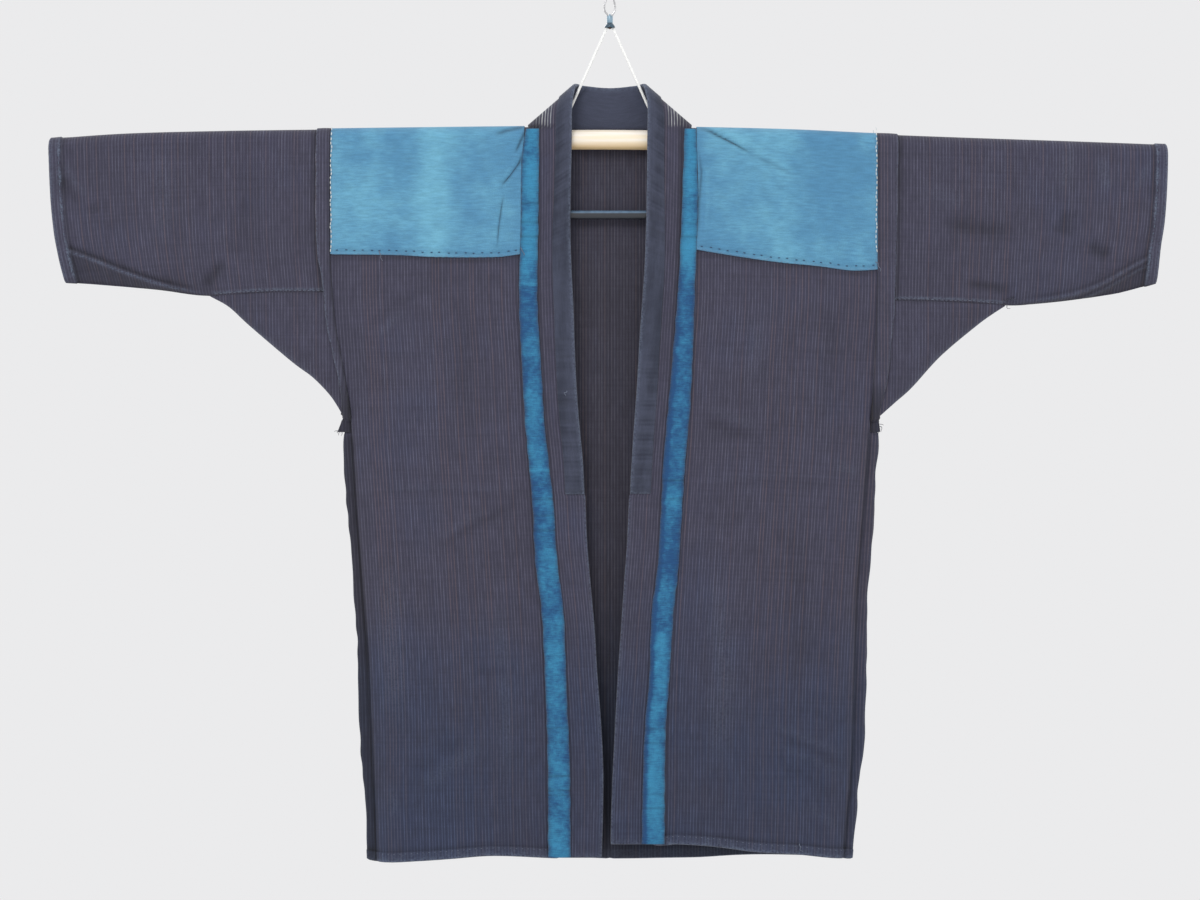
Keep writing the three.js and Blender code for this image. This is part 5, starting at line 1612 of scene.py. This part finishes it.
class HANTEN_OT_strips(bpy.types.Operator):
    """Mottled blue strips over the collar seams"""

    bl_idname = "hanten.strips"
    bl_label = "Blue strips"

    def execute(self, context):
        cloth = context.scene.hanten_cloth
        blue = dyed_cotton(cloth, "deep indigo", cloth.deep, cloth.deep_pale, 26.0, 0.30, 0.5, True)
        for half in HALVES.values():
            piece = dress(self.strip(half), "deep_indigo", blue, f"strip_{half.name}")
        return {"FINISHED"}

    def strip(self, half):
        """Lies on the body at its far edge and on the band at its near edge; both edges waver."""
        even = np.linspace(STRIP_TOP, half.front_foot + 16, 300)
        z = np.concatenate([even, half.front_foot + np.linspace(15, 0, 9)])[:, None]
        share = np.linspace(0, 1, 17)[None, :]
        taper = smooth_ramp(-z, 152, 175)
        waver = 0.45 * np.sin(z / 4.4 + 1.5 * np.sin(z / 21)) * np.sin(z / 37 + half.side)
        other = 0.4 * np.sin(z / 5.2 + 1.2 * np.sin(z / 17 + 2)) * np.sin(z / 29 + 2 * half.side)
        far, near = half.strip_far(z) + waver * taper, half.strip_near(z) + other * taper
        seam = half.collar_seam(z)
        lie = FACING / 2 + GAP
        hem = (HEM_RISE + GAP) * smooth_ramp(half.front_foot + 16 - z, 0, 5)
        x = far + (near - far) * share
        on_body = wall(half, far, z, -1) + CLOTH / 2 + lie + hem
        across_band = (seam - x) / (seam - half.front_edge(z))
        on_collar = collar_depth(z, across_band) + BAND / 2 + lie
        at_seam = np.maximum(collar_depth(z, 0) + BAND / 2 + lie, on_body)
        toward_seam = np.clip((far - x) / (far - seam), 0, 1)
        beyond = np.clip((seam - x) / np.maximum(seam - near, 1), 0, 1)
        far_part = on_body + (at_seam - on_body) * toward_seam
        near_part = at_seam + (on_collar - at_seam) * beyond
        deep = np.where(x > seam, far_part, near_part)
        foot = half.front_hem(x)
        grid = np.stack([half.side * x, -deep, np.maximum(z, foot)], -1)
        rough = 0.15 * creep(-z, 6.0) * np.sin(math.pi * share)
        away = np.minimum(share, 1 - share) * (far - near)
        join = sum(bump(z - level, 1.6) for level in STRIP_JOINS) * 0.25 * (half.side < 0)
        inner_band = 0.30 * smooth_ramp(share, 0.70, 0.92) * smooth_ramp(-z, 300, 480) * (half.side > 0)
        return shell(
            f"strip_piece_{half.name}", grid, half.side, FACING / 2 + rough + join, -FACING / 2,
            weave_map(half.side * x, -z),
            {
                "wear_and_highlight": 0.35 * edge_glow(away, 1.2),
                "shade": 0.34 * edge_glow(away, 2.4) + 0.28 * smooth_ramp(creep(-z, 2.0), 0.55, 0.85),
                "fade": join - inner_band + 0.08 * smooth_ramp(-z, 850, 950)
                + 0.26 * smooth_ramp(z, -330, -270) - 0.14 * edge_glow(away, 4),
            },
        )


def outer_point(half, x, z, face, lift):
    """A point lift millimetres outside the body's outer side."""
    x, z = np.broadcast_arrays(x, z)
    return np.stack([half.side * x, face * (wall(half, x, z, face) + CLOTH / 2 + lift), z], -1)


def stitches(name, ends, radius, arch):
    """Short threads, one for each pair of ends: five rings of six along a low arch, closed to points.

    A ring's centre is on the line between the ends, raised by arch * sin(pi t) away from the middle
    plane, and its radius is radius * sqrt(sin(pi t))."""
    start, stop = ends
    t = np.linspace(0, 1, 7)[None, 1:-1, None]
    outward = np.zeros_like(start)
    outward[:, 1] = np.sign(start[:, 1])
    centre = start[:, None] * (1 - t) + stop[:, None] * t + arch * np.sin(math.pi * t) * outward[:, None]
    way = unit(stop - start)
    side = unit(np.cross(way, outward))
    up = np.cross(side, way)
    angle = np.linspace(0, 2 * math.pi, 6, endpoint=False)
    thick = radius * np.sqrt(np.sin(math.pi * t))
    ring = np.cos(angle)[:, None] * side[:, None, None] + np.sin(angle)[:, None] * up[:, None, None]
    rings = centre[:, :, None] + thick[..., None] * ring
    count = len(start)
    points = np.concatenate([rings.reshape(count, -1, 3), start[:, None], stop[:, None]], axis=1)
    shift = points.shape[1] * np.arange(count)[:, None, None]
    return mesh_piece(name, points, [(part + shift).reshape(-1, part.shape[1]) for part in tube_faces(5, 6)])


def running_line(half, x, z, face, lift, length):
    """Ends of stitches of one length, centred on a line of places that lies outside the body."""
    reach = length / 2 * unit(np.stack([np.gradient(x), np.gradient(z)]).T).T
    return [outer_point(half, x + way * reach[0], z + way * reach[1], face, lift) for way in (-1, 1)]


def joined(lines):
    """Several lines of stitches as one pair of arrays."""
    return np.concatenate([line[0] for line in lines]), np.concatenate([line[1] for line in lines])


class HANTEN_OT_stitching(bpy.types.Operator):
    """Running stitches of the patches, their selvage dashes, and the stitches of seams, hems and cuffs"""

    bl_idname = "hanten.stitching"
    bl_label = "Stitching"

    def execute(self, context):
        cloth = context.scene.hanten_cloth
        blue = thread_material("blue thread", cloth.blue_thread)
        pale = thread_material("pale thread", cloth.pale_thread)
        rubbed = thread_material("rubbed thread", cloth.rubbed_thread)
        faded = faded_thread(context)
        for half in HALVES.values():
            lines = [
                ("patch_stitches", self.patch_foot(half), 0.5, 0.4, blue, "light_indigo"),
                ("selvage_dashes", self.selvage(half), 0.55, 0.3, pale, "light_indigo"),
                ("seam_stitches", self.gusset_seam(half), 0.3, 0.3, faded, "striped_cotton"),
                ("hem_stitches", self.hems(half), 0.26, 0.25, faded, "striped_cotton"),
                ("cuff_stitches", self.cuff(half), 0.3, 0.25, rubbed, "striped_cotton"),
            ]
            for name, ends, radius, arch, material, slot in lines:
                dress(stitches(f"{name}_{half.name}", ends, radius, arch), slot, material)
        return {"FINISHED"}

    def patch_foot(self, half):
        """Stitches of 3 mm, 9.5 mm apart, 4.5 mm above each patch's foot, front and back."""
        inner = max(half.strip_far(z) for z in (STRIP_TOP, -230, -270)) + 5
        x = np.arange(inner, half.seam_x(-290) - 5, 9.5)
        x = x + 0.7 * np.sin(x * 1.7)
        z = half.patch_foot(x) + 4.5 + 0.4 * np.sin(x * 0.9)
        return joined([running_line(half, x, z, face, OVER_PATCH + 0.45, 3.0) for face in (-1, 1)])

    def selvage(self, half):
        """Uneven white dashes of 4 mm, 5 mm apart, down the patches' armhole edges."""
        z = np.arange(-152, -290, -5.0)
        z = z + 0.9 * np.sin(z * 2.3)
        x = half.seam_x(z) - 1.9 + 0.6 * np.sin(z)
        return joined([running_line(half, x, z, face, OVER_PATCH + 0.25, 4.1) for face in (-1, 1)])

    def gusset_seam(self, half):
        """Broken faded stitches along the foot of the sleeve, above the gusset."""
        x = np.arange(half.seam_x(-320) + 4, half.gusset_line[0][0] - 4, 5.2)
        z = half.sleeve_foot(x) + 1.6 + 0.3 * np.sin(x * 1.1)
        return joined([running_line(half, x, z, face, 0.2, 3.4) for face in (-1, 1)])

    def hems(self, half):
        """Small stitches 6.5 mm apart along the top of the turned hems."""
        x = np.arange(half.strip_far(-950) + 3, half.seam_x(-950) - 4, 6.5)
        front = running_line(half, x, half.front_hem(x) + HEM_HEIGHT - 1.4, -1, HEM_RISE + 0.15, 1.9)
        x = np.arange(6, half.seam_x(-950) - 4, 6.5)
        back = running_line(half, x, half.back_hem(x) + HEM_HEIGHT - 1.4, 1, HEM_RISE + 0.15, 1.9)
        return joined([front, back])

    def cuff(self, half):
        """Faded stitches 8 mm apart down the inner line of the cuff's hem."""
        z = np.arange(half.crest(620) - 20, -312, -8.0)
        x = half.cuff(z) - CUFF_HEM + 1.8
        return joined([running_line(half, x, z, face, HEM_RISE + 0.3, 3.2) for face in (-1, 1)])


class HANTEN_OT_loose_threads(bpy.types.Operator):
    """Frayed corners under the arms, a knot at the sleeve's seam and a few thread ends"""

    bl_idname = "hanten.loose_threads"
    bl_label = "Loose threads"

    def execute(self, context):
        navy = thread_material("navy thread", context.scene.hanten_cloth.navy_thread)
        faded = faded_thread(context)
        right, left = HALVES["right"], HALVES["left"]
        ends = {
            "fray_right": (right, navy, [
                (294, -478, 302, -491), (298, -480, 305, -490), (299, -484, 304, -493),
                (301, -484, 308, -489), (296, -484, 300, -494),
            ]),
            "fray_left": (left, navy, [
                (295, -480, 300, -492), (297, -481, 298, -493), (299, -480, 304, -489),
                (300, -476, 306, -482),
            ]),
            "knot_left": (left, navy, [
                (441, -343, 452, -338), (443, -345, 447, -352), (446, -341, 455, -343),
            ]),
            "ends_right": (right, faded, [
                (256, -287, 253, -299), (100, -284, 96, -293), (47, -444, 49.5, -449),
            ]),
            "ends_left": (left, faded, [(296, -300, 301, -311), (212, -948, 215, -957)]),
        }
        for name, (half, material, threads) in ends.items():
            for number, thread in enumerate(threads):
                piece = self.thread(f"{name}_{number}", half, thread, number)
                dress(piece, "striped_cotton", material)
        return {"FINISHED"}

    def thread(self, name, half, ends, number):
        """A bent thread between two places outside the cloth, bowed by a sine with a smaller second one."""
        x0, z0, x1, z1 = ends
        t = np.linspace(0, 1, 24)
        bow = (1.6 * np.sin(math.pi * t) + 0.7 * np.sin(3 * math.pi * t + number)) * (1 - 2 * (number % 2))
        x = x0 + (x1 - x0) * t + bow
        z = z0 + (z1 - z0) * t + 0.5 * bow
        deep = wall(half, np.array([x0]), np.array([z0]), -1)[0]
        path = np.stack([half.side * x, -(deep + 2.4 + 0.8 * t), z], -1)
        return sweep(name, path, 0.5 * (1 - 0.6 * t), 8)


class HANTEN_OT_hanger(bpy.types.Operator):
    """The wooden rod, the lower bar, and the wire eye with its ferrule, bell and bead"""

    bl_idname = "hanten.hanger"
    bl_label = "Rod and hook"

    def execute(self, context):
        hanger = context.scene.hanten_hanger
        self.rod(hanger)
        self.bar(hanger)
        self.eye(hanger)
        self.ferrule(hanger)
        self.bell(hanger)
        self.bead(hanger)
        return {"FINISHED"}

    def rod(self, hanger):
        """A round rod under the crest, its ends eased over a millimetre."""
        x = np.concatenate([[0, 0, 0.4, 1.2], np.linspace(8, 2 * ROD_REACH - 8, 150)]) - ROD_REACH
        x = np.concatenate([x, -x[3::-1]])
        ease = np.array([0.4, 0.92, 0.98, 1.0])
        radii = ROD_RADIUS * np.concatenate([ease, np.ones(len(x) - 8), ease[::-1]])
        slack = NECK_SLACK * (1 - smooth_ramp(np.abs(x), 60, 200))
        level = np.zeros_like(x)
        centres = np.stack([x, level, crest_line(x) - WRAP - slack], -1)
        along = np.stack([level + 1, level, crest_line(x + 0.5) - crest_line(x - 0.5)], -1)
        piece = sweep("wooden_rod", centres, radii, 64, direction=along)
        dress(piece, "pale_wood", wood_material(hanger), "rod")

    def bar(self, hanger):
        """A thin round bar with eased ends."""
        start = np.array([0, 0, 0.3, 1.0, 20])
        x = np.concatenate([start, [BAR_LENGTH / 2], BAR_LENGTH - start[::-1]]) - BAR_LENGTH / 2
        ease = np.array([0.3, 0.88, 0.97, 1, 1])
        radii = BAR_RADIUS * np.concatenate([ease, [1], ease[::-1]])
        centres = np.stack([x, np.zeros_like(x), np.full_like(x, BAR_Z)], -1)
        piece = sweep("glossy_bar", centres, radii, 48, direction=(1.0, 0.0, 0.0))
        slate = smooth_material("glossy slate", hanger.bar, 0.18, coat=0.4, under=hanger.bar_painted_shade)
        dress(piece, "dark_bar", slate, "lower_bar")

    def eye(self, hanger):
        """A drop of wire: x = 5.6 sin a (1 - 0.42 cos a), z follows cos a, both ends in the ferrule."""
        turn = np.radians(np.linspace(-152, 152, 90))
        x = 5.6 * np.sin(turn) * (1 - 0.42 * np.cos(turn))
        z = -EYE_HEIGHT / 2 + (EYE_HEIGHT / 2 + EYE_WIRE) * np.cos(turn)
        foot = FERRULE_TOP + GAP
        x = np.concatenate([[-2.7, -2.7], x, [2.7, 2.7]])
        z = np.concatenate([[foot, foot + 0.4], z, [foot + 0.4, foot]])
        centres = np.stack([x, np.zeros_like(x), z], -1)
        piece = sweep("wire_eye", centres, np.full(len(x), EYE_WIRE), 16)
        wire = smooth_material("bright wire", hanger.metal, 0.22, metallic=1.0)
        dress(piece, "bright_wire", wire, "hanging_eye")

    def turned(self, name, profile, sides=40):
        """A turned piece round z from a profile of (radius, z) that runs from pole to pole."""
        radii, z = np.array(profile, float).T
        centres = z[:, None] * np.array(UPRIGHT)
        return sweep(name, centres, radii, sides, direction=UPRIGHT)

    def ferrule(self, hanger):
        """Sleeve with eased rims, a rivet head on top and a thin stem below."""
        top = FERRULE_TOP
        foot = top - FERRULE_LENGTH
        profile = [
            (POLE, foot - 3.6), (1.2, foot - 3.6), (1.7, foot - 3.3), (1.7, foot), (2.9, foot),
            (3.25, foot + 0.2), (3.35, foot + 0.6), (3.35, top - 0.6), (3.2, top - 0.15), (3.0, top),
            (1.2, top), (1.2, top + 1.2), (0.95, top + 1.8), (0.5, top + 2.15), (POLE, top + 2.2),
        ]
        metal = smooth_material("grey blue metal", hanger.ferrule, 0.38, metallic=0.3, coat=0.2)
        dress(self.turned("hook_ferrule", profile), "grey_blue_metal", metal, "ferrule")

    def bell(self, hanger):
        """A hollow cap round the stem: its closed section carried once round z."""
        top = FERRULE_TOP - FERRULE_LENGTH - GAP
        section = np.array([
            (2.0, top), (2.0, top - 1.5), (2.8, top - 1.9), (3.6, top - 2.4), (4.6, top - 3.7),
            (5.4, top - 4.9), (5.8, top - 4.85), (6.2, top - 4.3), (5.3, top - 2.6), (4.4, top - 1.3),
            (3.8, top - 0.4), (3.2, top),
        ])
        angle = np.linspace(0, 2 * math.pi, 48, endpoint=False)[:, None]
        radius, z = section.T
        ring = radius * np.cos(angle), radius * np.sin(angle), z
        points = np.stack(np.broadcast_arrays(*ring), -1)
        number = np.arange(points.shape[0] * points.shape[1]).reshape(points.shape[:2])
        right, over = np.roll(number, -1, axis=1), np.roll(number, -1, axis=0)
        both = np.roll(right, -1, axis=0)
        faces = np.stack([number, right, both, over], -1).reshape(-1, 4)
        teal = smooth_material("teal", hanger.bell, 0.25, coat=0.5)
        dress(mesh_piece("hook_bell", points, [faces]), "teal_plastic", teal, "bell")

    def bead(self, hanger):
        """A small round bead, a hair flattened at its poles."""
        turn = np.linspace(0, math.pi, 17)
        radii = np.maximum(1.45 * np.sin(turn), POLE)
        z = FERRULE_TOP - BEAD_DROP - 1.4 * np.cos(turn)
        brown = smooth_material("brown", hanger.bead, 0.5)
        dress(self.turned("hook_bead", np.stack([radii, z], -1), 24), "brown_bead", brown, "bead")


class HANTEN_PT_panel(bpy.types.Panel):
    """Buttons for the jacket's pieces, with its sizes and colours"""

    bl_idname = "HANTEN_PT_panel"
    bl_label = "Hanten Jacket"
    bl_space_type = "VIEW_3D"
    bl_region_type = "UI"
    bl_category = "Hanten"

    def draw(self, context):
        for operator in OPERATORS:
            self.layout.operator(operator.bl_idname)
        for name, kind in SETTINGS.items():
            box = self.layout.box()
            for label in kind.__annotations__:
                box.prop(getattr(context.scene, name), label)


SETTINGS = {"hanten_cloth": HantenCloth, "hanten_hanger": HantenHanger, "hanten_stage": HantenStage}
OPERATORS = [
    HANTEN_OT_stage, HANTEN_OT_cords, HANTEN_OT_body, HANTEN_OT_sleeves, HANTEN_OT_allowances,
    HANTEN_OT_patches, HANTEN_OT_collar, HANTEN_OT_strips, HANTEN_OT_stitching, HANTEN_OT_loose_threads,
    HANTEN_OT_hanger,
]


def register():
    """Registers the classes and puts the settings on the scene."""
    for kind in [*SETTINGS.values(), *OPERATORS, HANTEN_PT_panel]:
        bpy.utils.register_class(kind)
    for name, kind in SETTINGS.items():
        setattr(bpy.types.Scene, name, PointerProperty(type=kind))


def unregister():
    """Takes the settings and the classes away."""
    for name in SETTINGS:
        delattr(bpy.types.Scene, name)
    for kind in reversed([*SETTINGS.values(), *OPERATORS, HANTEN_PT_panel]):
        bpy.utils.unregister_class(kind)


def main():
    """Makes the stage and every piece in order."""
    register()
    for operator in OPERATORS:
        group, name = operator.bl_idname.split(".")
        getattr(getattr(bpy.ops, group), name)()


if __name__ == "__main__":
    main()
